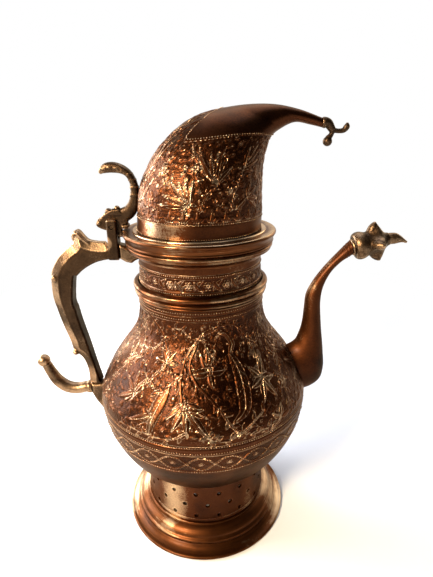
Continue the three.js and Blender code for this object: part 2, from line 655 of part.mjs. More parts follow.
// Upper edge, lower edge and half width at each station, in millimetres from the spout's seat.
const SPOUT_STATIONS = [
  { upper: [-14, 27], lower: [-9, -8], width: 11 },
  { upper: [-6.6, 32], lower: [4.5, -4.4], width: 11 },
  { upper: [-4.2, 37.5], lower: [12.0, 1.6], width: 10.2 },
  { upper: [-2.8, 43], lower: [14.2, 11.0], width: 8.8 },
  { upper: [-2.0, 50], lower: [13.0, 25], width: 7.4 },
  { upper: [-1.6, 57], lower: [10.4, 44], width: 6.2 },
  { upper: [-0.8, 66], lower: [8.9, 61], width: 5.0 },
  { upper: [3.2, 74.8], lower: [9.9, 70.4], width: 4.0 },
  { upper: [9.7, 84.2], lower: [13.9, 80.2], width: 3.6 },
  { upper: [17.4, 93.2], lower: [19.8, 87.2], width: 3.9 },
  { upper: [24.5, 100.9], lower: [26.6, 92.0], width: 4.6 },
];
function spoutRings(wall, steps) {
  const spline = (pick) => new THREE.CatmullRomCurve3(SPOUT_STATIONS.map(pick), false, "centripetal");
  const upper = spline(({ upper: [x, z] }) => new THREE.Vector3(SEAT.x + x, 0, SEAT.z + z));
  const lower = spline(({ lower: [x, z] }) => new THREE.Vector3(SEAT.x + x, 0, SEAT.z + z));
  const width = spline(({ width: w }, i) => new THREE.Vector3(w, 3 * i, 0));
  return Array.from({ length: steps + 1 }, (_, i) => {
    const t = i / steps;
    const [u, l] = [upper.getPoint(t), lower.getPoint(t)];
    const reach = u.clone().sub(l).multiplyScalar(0.5);
    const half = reach.length();
    reach.multiplyScalar((half - wall) / half);
    const across = new THREE.Vector3(0, width.getPoint(t).x - wall, 0);
    return ellipse(u.add(l).multiplyScalar(0.5), reach, across, 16);
  });
}
const spoutSkin = spoutRings(0, 17);
const spoutBore = spoutRings(SPOUT_WALL, 12);
place(pot, "spout_tube", cut(loftWall(spoutSkin, spoutBore), [grownBowl, grownShoulder]), COPPER);

// The bud and the beak share the line on which the spout ends
const spoutEnd = SPOUT_STATIONS.at(-1);
const budStart = new THREE.Vector3(
  SEAT.x + (spoutEnd.upper[0] + spoutEnd.lower[0]) / 2,
  0,
  SEAT.z + (spoutEnd.upper[1] + spoutEnd.lower[1]) / 2,
);
const budLine = new THREE.Vector3(
  spoutEnd.upper[1] - spoutEnd.lower[1],
  0,
  -(spoutEnd.upper[0] - spoutEnd.lower[0]),
).normalize();
const budUp = new THREE.Vector3(-budLine.z, 0, budLine.x);
const SIDE = new THREE.Vector3(0, 1, 0);
const PETALS = 4;
const budPetal = (reach) => (turn) => 1 + reach * ((1 + Math.cos(PETALS * turn)) / 2) ** 1.5;

// Rings of the bud, each [share of its length, radius, how far its petals stand out].
function budRings(stations, sides) {
  return stations.map(([share, radius, reach]) =>
    ellipse(
      budStart.clone().addScaledVector(budLine, SEAM + BUD_LENGTH * share),
      budUp.clone().multiplyScalar(radius),
      SIDE.clone().multiplyScalar(radius),
      sides,
      budPetal(reach),
    ),
  );
}
const BUD_STATIONS = [
  [0.0, 5.2, 0], [0.07, 7.6, 0], [0.2, 8.8, 0], [0.33, 8.5, 0], [0.45, 7.4, 0.06], [0.58, 7.2, 0.34],
  [0.7, 7.4, 0.66], [0.77, 7.4, 0.68], [0.85, 6.2, 0.3], [0.93, 4.5, 0], [1.0, 3.7, 0],
];
const budBore = 2.1;
place(
  pot,
  "spout_bud",
  loftWall(budRings(BUD_STATIONS, 24), budRings([[0, budBore, 0], [1, budBore, 0]], 24)),
  CAST_BRASS,
);

const beakStart = budStart.clone().addScaledVector(budLine, BUD_LENGTH + 2 * SEAM);
// Each ring of the beak is [share of its length, height off the bud's line, half height, half width].
const BEAK_STATIONS = [
  [0.0, 0.0, 3.3, 3.0], [0.15, -0.2, 3.6, 3.2], [0.38, -0.8, 3.5, 3.2], [0.6, -2.0, 2.5, 2.7],
  [0.8, -3.5, 1.5, 1.8], [1.0, -5.0, 0.6, 0.8],
];
const beakPoint = (share, lift) =>
  beakStart.clone().addScaledVector(budLine, BEAK_LENGTH * share).addScaledVector(budUp, lift);
const beakRings = BEAK_STATIONS.map(([share, lift, high, wide]) =>
  ellipse(beakPoint(share, lift), budUp.clone().multiplyScalar(high), SIDE.clone().multiplyScalar(wide), 12),
);
// The bore leaves the beak through its underside, just short of the tip
const BEAK_BORE = [[-0.1, 0, 2.1], [0.4, -1.4, 2.0], [0.62, -3.4, 1.7], [0.8, -7.0, 1.7]];
const beakBore = BEAK_BORE.map(([share, lift, radius]) => {
  const point = beakPoint(share, lift);
  return [point.x, point.z, radius, radius];
});
place(pot, "spout_beak", cut(loft(beakRings), [limb(beakBore, 5, 8)]), CAST_BRASS);

// The whole pot, moved so that the middle of its outer box stands over the origin
const coffeePot = new THREE.Group();
coffeePot.add(pot, lid);
const box = new THREE.Box3().setFromObject(coffeePot);
coffeePot.position.x = -(box.min.x + box.max.x) / 2;

export default coffeePot;
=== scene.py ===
"""A raised and chased copper coffee pot with cast brass fittings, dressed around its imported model.

Pieces are drawn in millimetres from the pot's own axis, then moved into the frame in metres.
"""

import logging
import math
from collections.abc import Callable, Sequence
from dataclasses import dataclass, field
from enum import Enum

import bpy
import numpy as np
from mathutils import Matrix, Vector, geometry
from mathutils.kdtree import KDTree

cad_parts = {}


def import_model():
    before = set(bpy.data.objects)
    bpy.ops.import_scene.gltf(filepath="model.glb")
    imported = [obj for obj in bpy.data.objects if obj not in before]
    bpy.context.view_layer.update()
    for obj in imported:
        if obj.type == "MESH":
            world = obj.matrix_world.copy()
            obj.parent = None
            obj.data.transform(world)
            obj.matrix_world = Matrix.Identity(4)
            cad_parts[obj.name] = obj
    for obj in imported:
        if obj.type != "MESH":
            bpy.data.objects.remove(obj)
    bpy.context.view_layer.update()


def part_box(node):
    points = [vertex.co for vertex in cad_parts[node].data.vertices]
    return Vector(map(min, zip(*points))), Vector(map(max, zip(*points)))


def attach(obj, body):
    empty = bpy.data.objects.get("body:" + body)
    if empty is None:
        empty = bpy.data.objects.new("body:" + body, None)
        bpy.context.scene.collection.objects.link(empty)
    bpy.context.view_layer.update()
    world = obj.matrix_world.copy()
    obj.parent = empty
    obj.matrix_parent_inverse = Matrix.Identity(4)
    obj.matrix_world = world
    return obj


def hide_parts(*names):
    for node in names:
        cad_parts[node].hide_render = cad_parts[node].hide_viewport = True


log = logging.getLogger("coffee_pot")

MM = 0.001
SEED = 7
WEAR, GROUND, LINE, MATT = "wear", "ground", "line", "matt"
POT, LID = "pot", "lid"
SHEET = 1.5
WAIST = 101.0
BELLY_RADIUS = 69.6
COWL_FOOT = 212.35
HINGE = (-53.4, 213.5)
PIN_BORE = 1.5
# Radius at which a turned end is closed, and points round a turned moulding
POLE = 0.05
FINE_ROUND = 256

Line = np.ndarray
Tree = bpy.types.NodeTree
PLAIN = {WEAR: 0.5, GROUND: 0.0, LINE: 3.0, MATT: 0.0}


class Metal(Enum):
    """The three metals of the pot, by the record's material slots."""

    CHASED = "chased_copper"
    POLISHED = "polished_copper"
    CAST = "cast_brass"


# Lines and sections


def points(*rows: Sequence[float]) -> Line:
    """Return rows of numbers as one array of points."""
    return np.array(rows, float)


def spline(knots: Line, at: int | np.ndarray, ease_power: float = 0.5) -> Line:
    """Draw a smooth line through knots.

    Args:
        knots: The points to pass through, one a row.
        at: How many points to return, or the shares of the line to return them at.
        ease_power: 0.5 eases the line round close knots, 0 treats all knots alike.

    Returns:
        The points of the line.
    """
    shares = np.linspace(0, 1, at) if isinstance(at, int) else np.asarray(at, float)
    last = len(knots) - 2
    padded = np.vstack([2 * knots[0] - knots[1], knots, 2 * knots[-1] - knots[-2]])
    place = shares * (last + 1)
    index = np.clip(np.floor(place).astype(int), 0, last)
    share = (place - index)[:, None]
    a, b, c, d = (padded[index + i] for i in range(4))
    gap = [np.maximum(np.linalg.norm(p - q, axis=1), 1e-9)[:, None] ** ease_power for p, q in ((a, b), (b, c), (c, d))]
    leave = ((b - a) / gap[0] - (c - a) / (gap[0] + gap[1]) + (c - b) / gap[1]) * gap[1]
    arrive = ((c - b) / gap[1] - (d - b) / (gap[1] + gap[2]) + (d - c) / gap[2]) * gap[1]
    square = -3 * b + 3 * c - 2 * leave - arrive
    return b + share * leave + share**2 * square + share**3 * (2 * b - 2 * c + leave + arrive)


def bezier(knots: Line, count: int) -> Line:
    """Draw a cubic sweep from its two ends and two handles.

    Args:
        knots: The start, its handle, the handle of the end, and the end.
        count: How many points to return.

    Returns:
        The points of the sweep.
    """
    t = np.linspace(0, 1, count)[:, None]
    a, b, c, d = knots
    return a * (1 - t) ** 3 + 3 * b * t * (1 - t) ** 2 + 3 * c * t * t * (1 - t) + d * t**3


def arc(centre: Sequence[float], radius: float, start: float, end: float, count: int = 9) -> Line:
    """Draw part of a circle between two angles in degrees."""
    turn = np.radians(np.linspace(start, end, count))
    return np.column_stack([centre[0] + radius * np.cos(turn), centre[1] + radius * np.sin(turn)])


def arc_length(line: Line) -> np.ndarray:
    """Return the distance along a line at each of its points."""
    return np.concatenate([[0], np.cumsum(np.linalg.norm(np.diff(line, axis=0), axis=1))])


def respaced(line: Line, step: float, closed: bool = False) -> Line:
    """Put points along a line at an even step.

    Args:
        line: The line's corners.
        step: The wanted distance between points.
        closed: Whether the line returns to its start.

    Returns:
        The evenly spaced points.
    """
    if closed:
        line = np.vstack([line, line[:1]])
    run = arc_length(line)
    count = max(int(round(run[-1] / step)), 2)
    marks = np.linspace(0, run[-1], count + 1)
    spread = np.column_stack([np.interp(marks, run, column) for column in line.T])
    return spread[:-1] if closed else spread


def joined(*parts: Line) -> Line:
    """Join lines end to end."""
    return np.vstack(parts)


def wall_normals(line: Line) -> Line:
    """Return unit normals to the right of a line that runs upwards, so outwards on a vessel.

    Args:
        line: Points of radius and height.

    Returns:
        One normal a point.
    """
    run = np.gradient(line, axis=0)
    run /= np.maximum(np.linalg.norm(run, axis=1), 1e-9)[:, None]
    return np.column_stack([run[:, 1], -run[:, 0]])


def ease(value: np.ndarray) -> np.ndarray:
    """Return a smooth step from 0 to 1 as value goes from 0 to 1."""
    t = np.clip(value, 0, 1)
    return t * t * (3 - 2 * t)


def bump(value: np.ndarray, middle: float, spread: float) -> np.ndarray:
    """Return a soft hill of height 1 about a middle value."""
    return np.exp(-(((value - middle) / spread) ** 2))


def turns(count: int) -> np.ndarray:
    """Return even angles all round, in radians."""
    return np.arange(count) * 2 * math.pi / count


def bearing(skin: np.ndarray) -> np.ndarray:
    """Return the degrees from the front, to the right, of points about the pot's axis."""
    return np.degrees(np.arctan2(skin[..., 0], -skin[..., 1]))


def radius_at(section: Line, height: float | np.ndarray) -> np.ndarray:
    """Return a section's radius at a height."""
    return np.interp(height, section[:, 1], section[:, 0])


def nearest_value(skin: Line, known: Line, values: np.ndarray) -> np.ndarray:
    """Return the value of the nearest known point for each point of a skin.

    Args:
        skin: The points that need a value.
        known: The points that have one.
        values: What they have.

    Returns:
        One value for each point of the skin.
    """
    tree = KDTree(len(known))
    for i, place in enumerate(known):
        tree.insert(place, i)
    tree.balance()
    return np.array([values[tree.find(place)[1]] for place in skin])


# Skins


@dataclass
class Shell:
    """A closed skin: its points in millimetres from the pot's axis, and its faces."""

    points: Line
    quads: np.ndarray = field(default_factory=lambda: np.zeros((0, 4), int))
    triangles: np.ndarray = field(default_factory=lambda: np.zeros((0, 3), int))

    def outward(self) -> "Shell":
        """Turn the faces so that they point out."""
        q = self.quads
        corners = np.vstack([q[:, [0, 1, 2]], q[:, [0, 2, 3]], self.triangles])
        a, b, c = (self.points[corners[:, i]] for i in range(3))
        if np.einsum("ij,ij->i", a, np.cross(b, c)).sum() < 0:
            self.quads = self.quads[:, ::-1]
            self.triangles = self.triangles[:, ::-1]
        return self

    def moved(self, matrix: Matrix) -> "Shell":
        """Return the skin carried by a matrix."""
        m = np.array(matrix)
        return Shell(self.points @ m[:3, :3].T + m[:3, 3], self.quads, self.triangles)


def grid_shell(grid: np.ndarray, wrap: bool) -> Shell:
    """Skin a grid of rings.

    Args:
        grid: Points as rings by points round by 3.
        wrap: Join the last ring to the first; otherwise each end is closed to its middle.

    Returns:
        The closed skin.
    """
    rings, count = grid.shape[:2]
    ids = np.arange(rings * count).reshape(rings, count)
    nxt = np.roll(ids, -1, axis=1)
    upper, upper_nxt = np.roll(ids, -1, axis=0), np.roll(nxt, -1, axis=0)
    body = np.stack([ids, nxt, upper_nxt, upper], -1)
    if wrap:
        return Shell(grid.reshape(-1, 3), body.reshape(-1, 4)).outward()
    total = rings * count
    caps = np.vstack([grid[0].mean(0), grid[-1].mean(0)])
    first = np.stack([np.full(count, total), nxt[0], ids[0]], -1)
    last = np.stack([np.full(count, total + 1), ids[-1], nxt[-1]], -1)
    skin = np.vstack([grid.reshape(-1, 3), caps])
    return Shell(skin, body[:-1].reshape(-1, 4), np.vstack([first, last])).outward()


def round_grid(radius: np.ndarray, turn: np.ndarray, height: np.ndarray) -> np.ndarray:
    """Stand points at a radius and a height about the pot's axis."""
    return np.stack([radius * np.cos(turn), radius * np.sin(turn), height + 0 * turn], -1)


def turned(section: Line, sides: int, wrap: bool = True) -> Shell:
    """Turn a section of radius and height about the pot's axis."""
    return grid_shell(round_grid(section[:, :1], turns(sides), section[:, 1:]), wrap)


def oval_rings(
    middle: Line, reach: Line, width: np.ndarray, sides: int, power: float | np.ndarray = 2.0
) -> np.ndarray:
    """Put an oval round each point of a line in the XZ plane.

    Args:
        middle: Points as x and z.
        reach: Half axes in the XZ plane, as x and z.
        width: Half widths along Y.
        sides: Points in each ring.
        power: 2 for an ellipse, more for squarer shoulders, less for a keel; one value, or one a ring.

    Returns:
        A grid of rings.
    """
    turn = turns(sides)
    c = np.sign(np.cos(turn)) * np.abs(np.cos(turn)) ** (2 / power)
    s = np.sign(np.sin(turn)) * np.abs(np.sin(turn)) ** (2 / power)
    x = middle[:, :1] + reach[:, :1] * c
    z = middle[:, 1:] + reach[:, 1:] * c
    return np.stack([x, width[:, None] * s + 0 * x, z], -1)


def limb(stations: Line, count: int, sides: int, power: float = 2.0) -> Shell:
    """Skin a limb through stations of x, z, half depth and half width.

    Args:
        stations: One row a station.
        count: Rings along the limb.
        sides: Points in each ring.
        power: 2 for an ellipse, more for squarer shoulders.

    Returns:
        The closed skin.
    """
    middle = spline(stations[:, :2], count)
    size = spline(stations[:, 2:], count)
    run = np.gradient(middle, axis=0)
    run /= np.linalg.norm(run, axis=1)[:, None]
    normal = np.column_stack([-run[:, 1], run[:, 0]])
    return grid_shell(oval_rings(middle, normal * size[:, :1], size[:, 1], sides, power), False)


def ball(x: float, z: float, radius: float, y: float = 0.0) -> Shell:
    """Return a ball."""
    profile = arc((0, 0), radius, -89, 89, 15)
    return turned(profile, 24, False).moved(Matrix.Translation((x, y, z)))


def rod(x: float, z: float, radius: float, half: float) -> Shell:
    """Return a rod along Y with softly domed ends.

    Args:
        x: Its place from the axis.
        z: Its height.
        radius: Its radius.
        half: Half its length.

    Returns:
        The closed skin.
    """
    dome = 0.25
    foot = points((POLE, -half), (radius - dome, -half), (radius, dome - half))
    profile = np.vstack([foot, foot[::-1] * (1, -1)])
    return turned(profile, 32, False).moved(Matrix.Translation((x, 0, z)) @ Matrix.Rotation(math.pi / 2, 4, "X"))


def block(low: Sequence[float], high: Sequence[float], chamfer: float = 0.0) -> Shell:
    """Return a block with its upright and top edges chamfered.

    Args:
        low: Its lowest corner.
        high: Its highest corner.
        chamfer: Width of the chamfers.

    Returns:
        The closed skin.
    """
    (x0, y0, z0), (x1, y1, z1) = low, high
    k = chamfer * 0.9

    def ring(inset: float, z: float) -> list:
        """Return a ring of corners at a height.

        Args:
            inset: How far it is set in.
            z: Its height.

        Returns:
            The eight corners.
        """
        a, b, d, e = x0 + inset, x1 - inset, y0 + inset, y1 - inset
        flat = [(a + k, d), (b - k, d), (b, d + k), (b, e - k), (b - k, e), (a + k, e), (a, e - k), (a, d + k)]
        return [(x, y, z) for x, y in flat]

    shoulder = [ring(0, z1 - chamfer)] if chamfer else []
    return grid_shell(np.array([ring(0, z0), *shoulder, ring(chamfer, z1)]), False)


def casting(outline: Line, rule: Callable[[np.ndarray, Line], np.ndarray], step: float = 0.8) -> Shell:
    """Model a casting from its flat outline, with a thickness that grows inwards from the edge.

    Args:
        outline: The closed outline as x and z.
        rule: Gives the half thickness from the depth inside the edge and the place.
        step: Spacing of the points.

    Returns:
        The closed skin.
    """
    edge = respaced(outline, step * 0.8, True)
    low, high = edge.min(0), edge.max(0)
    xs, zs = (np.arange(low[i] + step / 2, high[i], step) for i in (0, 1))
    inner = np.stack(np.meshgrid(xs, zs), -1).reshape(-1, 2)
    inner = inner[(edge_distance(inner, edge) > step * 0.5) & inside(inner, edge)]
    flat = [Vector(p) for p in np.vstack([edge, inner])]
    verts, _, faces, *_ = geometry.delaunay_2d_cdt(flat, [], [list(range(len(edge)))], 1, 1e-6)
    place = np.array([tuple(v) for v in verts])
    depth = edge_distance(place, edge)
    half = rule(np.maximum(depth, 0), place)
    count = len(place)
    side = [np.column_stack([place[:, 0], y, place[:, 1]]) for y in (half, -half)]
    sheet = np.array([f for f in faces if len(f) == 3])
    pairs, seen = np.unique(
        np.sort(np.vstack([sheet[:, [0, 1]], sheet[:, [1, 2]], sheet[:, [2, 0]]]), axis=1), axis=0, return_counts=True
    )
    rim = {tuple(p) for p in pairs[seen == 1]}
    wall = [
        (a, b, b + count, a + count)
        for f in sheet
        for a, b in ((f[1], f[0]), (f[2], f[1]), (f[0], f[2]))
        if (min(a, b), max(a, b)) in rim
    ]
    return Shell(np.vstack(side), np.array(wall), np.vstack([sheet, sheet[:, ::-1] + count])).outward()


def edge_distance(place: Line, edge: Line) -> np.ndarray:
    """Return each point's distance to a closed outline.

    Args:
        place: The points, as x and z.
        edge: The outline's corners.

    Returns:
        One distance a point.
    """
    best = np.full(len(place), np.inf)
    for a, b in zip(edge, np.roll(edge, -1, axis=0)):
        run = b - a
        share = np.clip(((place - a) @ run) / max(run @ run, 1e-12), 0, 1)
        best = np.minimum(best, np.linalg.norm(place - a - share[:, None] * run, axis=1))
    return best


def inside(place: Line, edge: Line) -> np.ndarray:
    """Return which points lie inside a closed outline.

    Args:
        place: The points, as x and z.
        edge: The outline's corners.

    Returns:
        True for each point inside.
    """
    odd = np.zeros(len(place), bool)
    for a, b in zip(edge, np.roll(edge, -1, axis=0)):
        crosses = (a[1] > place[:, 1]) != (b[1] > place[:, 1])
        at = a[0] + (place[:, 1] - a[1]) / (b[1] - a[1] + 1e-12) * (b[0] - a[0])
        odd ^= crosses & (place[:, 0] < at)
    return odd


# Nodes


def add_node(
    tree: Tree, kind: str, settings: dict | None = None, values: dict | None = None, links: dict | None = None
) -> bpy.types.Node:
    """Add a node to a tree, set it up and link it.

    Args:
        tree: The tree that gets the node.
        kind: The node's type name.
        settings: Its own settings by name.
        values: Input values by socket name or number.
        links: Sources by the input's name or number: output sockets, or nodes for their first output.

    Returns:
        The new node.
    """
    node = tree.nodes.new(kind)
    for name, value in (settings or {}).items():
        setattr(node, name, value)
    for key, value in (values or {}).items():
        node.inputs[key].default_value = value
    for key, source in (links or {}).items():
        tree.links.new(source.outputs[0] if isinstance(source, bpy.types.Node) else source, node.inputs[key])
    return node


def blank_tree(owner: bpy.types.Material | bpy.types.World) -> Tree:
    """Give a material or a world an empty node tree.

    Args:
        owner: The material or the world.

    Returns:
        Its tree.
    """
    owner.use_nodes = True
    owner.node_tree.nodes.clear()
    return owner.node_tree


def to_linear(colour: str) -> tuple[float, float, float, float]:
    """Turn an sRGB hex colour into linear numbers.

    Args:
        colour: A hash and six hex digits.

    Returns:
        Red, green, blue and a full alpha.
    """
    parts = [int(colour[i : i + 2], 16) / 255 for i in (1, 3, 5)]
    red, green, blue = (p / 12.92 if p <= 0.04045 else ((p + 0.055) / 1.055) ** 2.4 for p in parts)
    return red, green, blue, 1.0


def per_metre(size_mm: float) -> float:
    """Return the pattern scale that gives features of a real size."""
    return 1 / (size_mm * MM)


@dataclass(frozen=True)
class MetalFinish:
    """How a metal looks, from its dark hollows to its rubbed edges."""

    hollow: str
    body: str
    bright: str
    cloud: str
    cloud_mm: float
    cloud_share: float
    rough_hollow: float
    rough_bright: float
    grain_mm: float
    grain_depth_mm: float
    stretch: tuple[float, float, float] = (1.0, 1.0, 1.0)
    wax: float = 0.06
    wax_rough: float = 0.28
    edge_tint: str = "#ffffff"
    dark_below: float = 0.12
    bright_above: float = 0.92
    cloud_tone: float = 0.16
    grain_tone: float = 0.07
    speck_tone: float = 0.11
    dent_tone: float = -0.03
    line_core_mm: float = 0.1
    line_edge_mm: float = 0.36
    # Painted glint: how much the tone is raised along chased lines
    line_glint_paint: float = 0.27
    line_depth_mm: float = 0.32
    punch_mm: float = 0.95
    punch_depth_mm: float = 0.15

    def make(self, name: str) -> bpy.types.Material:
        """Build the material.

        Args:
            name: The material's name.

        Returns:
            The material, reading Object coordinates and the wear, ground, line and matt attributes.
        """
        material = bpy.data.materials.new(name)
        tree = blank_tree(material)
        place = add_node(tree, "ShaderNodeTexCoord").outputs["Object"]
        wear, ground, gap, matt = (
            add_node(tree, "ShaderNodeAttribute", {"attribute_name": trait}).outputs["Fac"]
            for trait in (WEAR, GROUND, LINE, MATT)
        )
        soft = {"interpolation_type": "SMOOTHSTEP"}
        chased = add_node(
            tree, "ShaderNodeMapRange", soft, {1: self.line_core_mm, 2: self.line_edge_mm, 3: 1.0, 4: 0.0}, {0: gap}
        )
        stretched = add_node(tree, "ShaderNodeMapping", values={"Scale": self.stretch}, links={"Vector": place})
        clouds, grain = (
            add_node(
                tree, "ShaderNodeTexNoise", values={"Scale": per_metre(size), "Detail": detail, "Roughness": rough},
                links={"Vector": source},
            )
            for size, detail, rough, source in ((self.cloud_mm, 5.0, 0.62, place), (self.grain_mm, 3.0, 0.6, stretched))
        )
        shift, fine = (
            add_node(tree, "ShaderNodeMapRange", values={1: 0.3, 2: 0.7, 3: -most, 4: most}, links={0: noise})
            for noise, most in ((clouds, self.cloud_tone), (grain, self.grain_tone))
        )
        # Matting punch: grains left standing side by side, drawn as coarse as the render can show
        dents = add_node(
            tree, "ShaderNodeTexVoronoi", values={"Scale": per_metre(self.punch_mm), "Randomness": 0.7},
            links={"Vector": place},
        ).outputs["Distance"]
        tones = {1: 0.05, 2: 0.42, 3: self.speck_tone, 4: self.dent_tone}
        specks = add_node(tree, "ShaderNodeMapRange", soft, tones, {0: dents})
        matted, sunk = (
            add_node(tree, "ShaderNodeMath", {"operation": "MULTIPLY"}, links={0: source, 1: ground})
            for source in (specks, dents)
        )
        tone = wear
        for change in (shift, fine, matted):
            tone = add_node(tree, "ShaderNodeMath", {"operation": "ADD"}, links={0: tone, 1: change})
        # Painted glint: the tone is raised along chased lines, standing in for light caught on the walls of the grooves
        glint_paint_op = {"operation": "MULTIPLY_ADD", "use_clamp": True}
        tone = add_node(tree, "ShaderNodeMath", glint_paint_op, {1: self.line_glint_paint}, {0: chased, 2: tone})
        ramp = add_node(tree, "ShaderNodeValToRGB", links={0: tone})
        stops = ramp.color_ramp.elements
        stops[0].position, stops[0].color = self.dark_below, to_linear(self.hollow)
        stops[1].position, stops[1].color = self.bright_above, to_linear(self.bright)
        stops.new(0.5).color = to_linear(self.body)
        spread, rough = (
            add_node(tree, "ShaderNodeMapRange", values={1: low, 2: high, 3: start, 4: end}, links={0: source})
            for low, high, start, end, source in (
                (0.52, 0.72, 0.0, self.cloud_share, clouds), (0.1, 0.9, self.rough_hollow, self.rough_bright, tone)
            )
        )
        colour = add_node(
            tree, "ShaderNodeMix", {"data_type": "RGBA"}, {7: to_linear(self.cloud)}, {0: spread, 6: ramp}
        ).outputs[2]
        rough = add_node(tree, "ShaderNodeMath", {"operation": "ADD", "use_clamp": True}, links={0: rough, 1: matt})
        base = {}
        for height, depth_mm, invert in (
            (grain, self.grain_depth_mm, False), (sunk, self.punch_depth_mm, True), (chased, self.line_depth_mm, True)
        ):
            depth = {"Strength": 1.0, "Distance": depth_mm * MM}
            base = {"Normal": add_node(tree, "ShaderNodeBump", {"invert": invert}, depth, {"Height": height, **base})}
        skin = {"Metallic": 1.0, "Specular Tint": to_linear(self.edge_tint)}
        wax = {"Coat Weight": self.wax, "Coat Roughness": self.wax_rough}
        links = {"Base Color": colour, "Roughness": rough, **base}
        shader = add_node(tree, "ShaderNodeBsdfPrincipled", values=skin | wax, links=links)
        add_node(tree, "ShaderNodeOutputMaterial", links={0: shader})
        return material


# Copper, raised by hammer and chased by hand: brown oxide in the sunk ground, rubbed warm metal on top
CHASED_FINISH = MetalFinish(
    hollow="#1d0b05", body="#542c13", bright="#e8c598", cloud="#341a0b", cloud_mm=26.0, cloud_share=0.45,
    rough_hollow=0.4, rough_bright=0.24, grain_mm=0.9, grain_depth_mm=0.035, edge_tint="#eadbcd",
)
# Copper, spun and turned: fine rings from the lathe, rubbed bright on the mouldings
POLISHED_FINISH = MetalFinish(
    hollow="#220f06", body="#5a3115", bright="#e9c698", cloud="#3b200d", cloud_mm=18.0, cloud_share=0.35,
    rough_hollow=0.36, rough_bright=0.22, grain_mm=0.55, grain_depth_mm=0.035, stretch=(0.03, 0.03, 1.0),
    edge_tint="#eadbcd",
)
# Brass, sand-cast and filed: an olive skin with the casting's grain, gold where hands have rubbed it
CAST_FINISH = MetalFinish(
    hollow="#1a120b", body="#473423", bright="#c9a27a", cloud="#33271b", cloud_mm=9.0, cloud_share=0.45,
    rough_hollow=0.55, rough_bright=0.3, grain_mm=0.8, grain_depth_mm=0.12, edge_tint="#efe6d6",
)


# Meshes and pieces


def to_mesh(name: str, shells: Sequence[Shell], axis_x: float) -> bpy.types.Mesh:
    """Make one mesh in metres from skins in millimetres.

    Args:
        name: The mesh's name.
        shells: The skins.
        axis_x: Where the pot's axis stands in the frame, in millimetres.

    Returns:
        The mesh.
    """
    base, skin, loops, totals = 0, [], [], []
    for shell in shells:
        skin.append(shell.points)
        for faces in (shell.quads, shell.triangles):
            if len(faces):
                loops.append((faces + base).ravel())
                totals.append(np.full(len(faces), faces.shape[1]))
        base += len(shell.points)
    place = (np.vstack(skin) + (axis_x, 0, 0)) * MM
    corners, total = np.concatenate(loops), np.concatenate(totals)
    mesh = bpy.data.meshes.new(name)
    mesh.vertices.add(len(place))
    mesh.vertices.foreach_set("co", place.astype(np.float32).ravel())
    mesh.loops.add(len(corners))
    mesh.loops.foreach_set("vertex_index", corners.astype(np.int32))
    mesh.polygons.add(len(total))
    mesh.polygons.foreach_set("loop_start", np.concatenate([[0], np.cumsum(total)[:-1]]).astype(np.int32))
    mesh.update(calc_edges=True)
    mesh.validate()
    return mesh


def mesh_points(mesh: bpy.types.Mesh) -> Line:
    """Return a mesh's points in millimetres.

    Args:
        mesh: The mesh.

    Returns:
        One row a point.
    """
    place = np.zeros(len(mesh.vertices) * 3, np.float32)
    mesh.vertices.foreach_get("co", place)
    return place.reshape(-1, 3).astype(float) / MM


def mesh_edges(mesh: bpy.types.Mesh) -> np.ndarray:
    """Return a mesh's edges as pairs of points.

    Args:
        mesh: The mesh.

    Returns:
        Two point numbers an edge.
    """
    pairs = np.zeros(len(mesh.edges) * 2, np.int32)
    mesh.edges.foreach_get("vertices", pairs)
    return pairs.reshape(-1, 2)


def neighbour_mean(values: np.ndarray, edges: np.ndarray) -> np.ndarray:
    """Average a value over each point's neighbours.

    Args:
        values: One value or one row a point.
        edges: Pairs of neighbours.

    Returns:
        The mean of each point's neighbours.
    """
    total, count = np.zeros_like(values, float), np.zeros(len(values))
    for a, b in ((0, 1), (1, 0)):
        np.add.at(total, edges[:, a], values[edges[:, b]])
        np.add.at(count, edges[:, a], 1)
    count = np.maximum(count, 1)
    return total / (count[:, None] if total.ndim == 2 else count)


def baked(obj: bpy.types.Object) -> bpy.types.Object:
    """Turn an object's modifiers into a plain mesh and drop them.

    Args:
        obj: The object.

    Returns:
        The same object.
    """
    made = bpy.data.meshes.new_from_object(obj.evaluated_get(bpy.context.evaluated_depsgraph_get()))
    obj.modifiers.clear()
    obj.data = made
    return obj


def placed(name: str, data: bpy.types.ID) -> bpy.types.Object:
    """Put a mesh, a lamp or a camera into the scene as an object.

    Args:
        name: The object's name.
        data: What it shows.

    Returns:
        The object.
    """
    obj = bpy.data.objects.new(name, data)
    bpy.context.scene.collection.objects.link(obj)
    return obj


def taken(obj: bpy.types.Object, axis_x: float) -> Shell:
    """Read an object back as a skin in millimetres from an upright axis, and drop the object.

    Args:
        obj: An object of triangles and quads.
        axis_x: Where the axis stands, in millimetres.

    Returns:
        The skin.
    """
    faces = [tuple(p.vertices) for p in obj.data.polygons]
    skin = mesh_points(obj.data) - (axis_x, 0, 0)
    bpy.data.objects.remove(obj)
    return Shell(skin, *(np.array([f for f in faces if len(f) == corners]) for corners in (4, 3)))


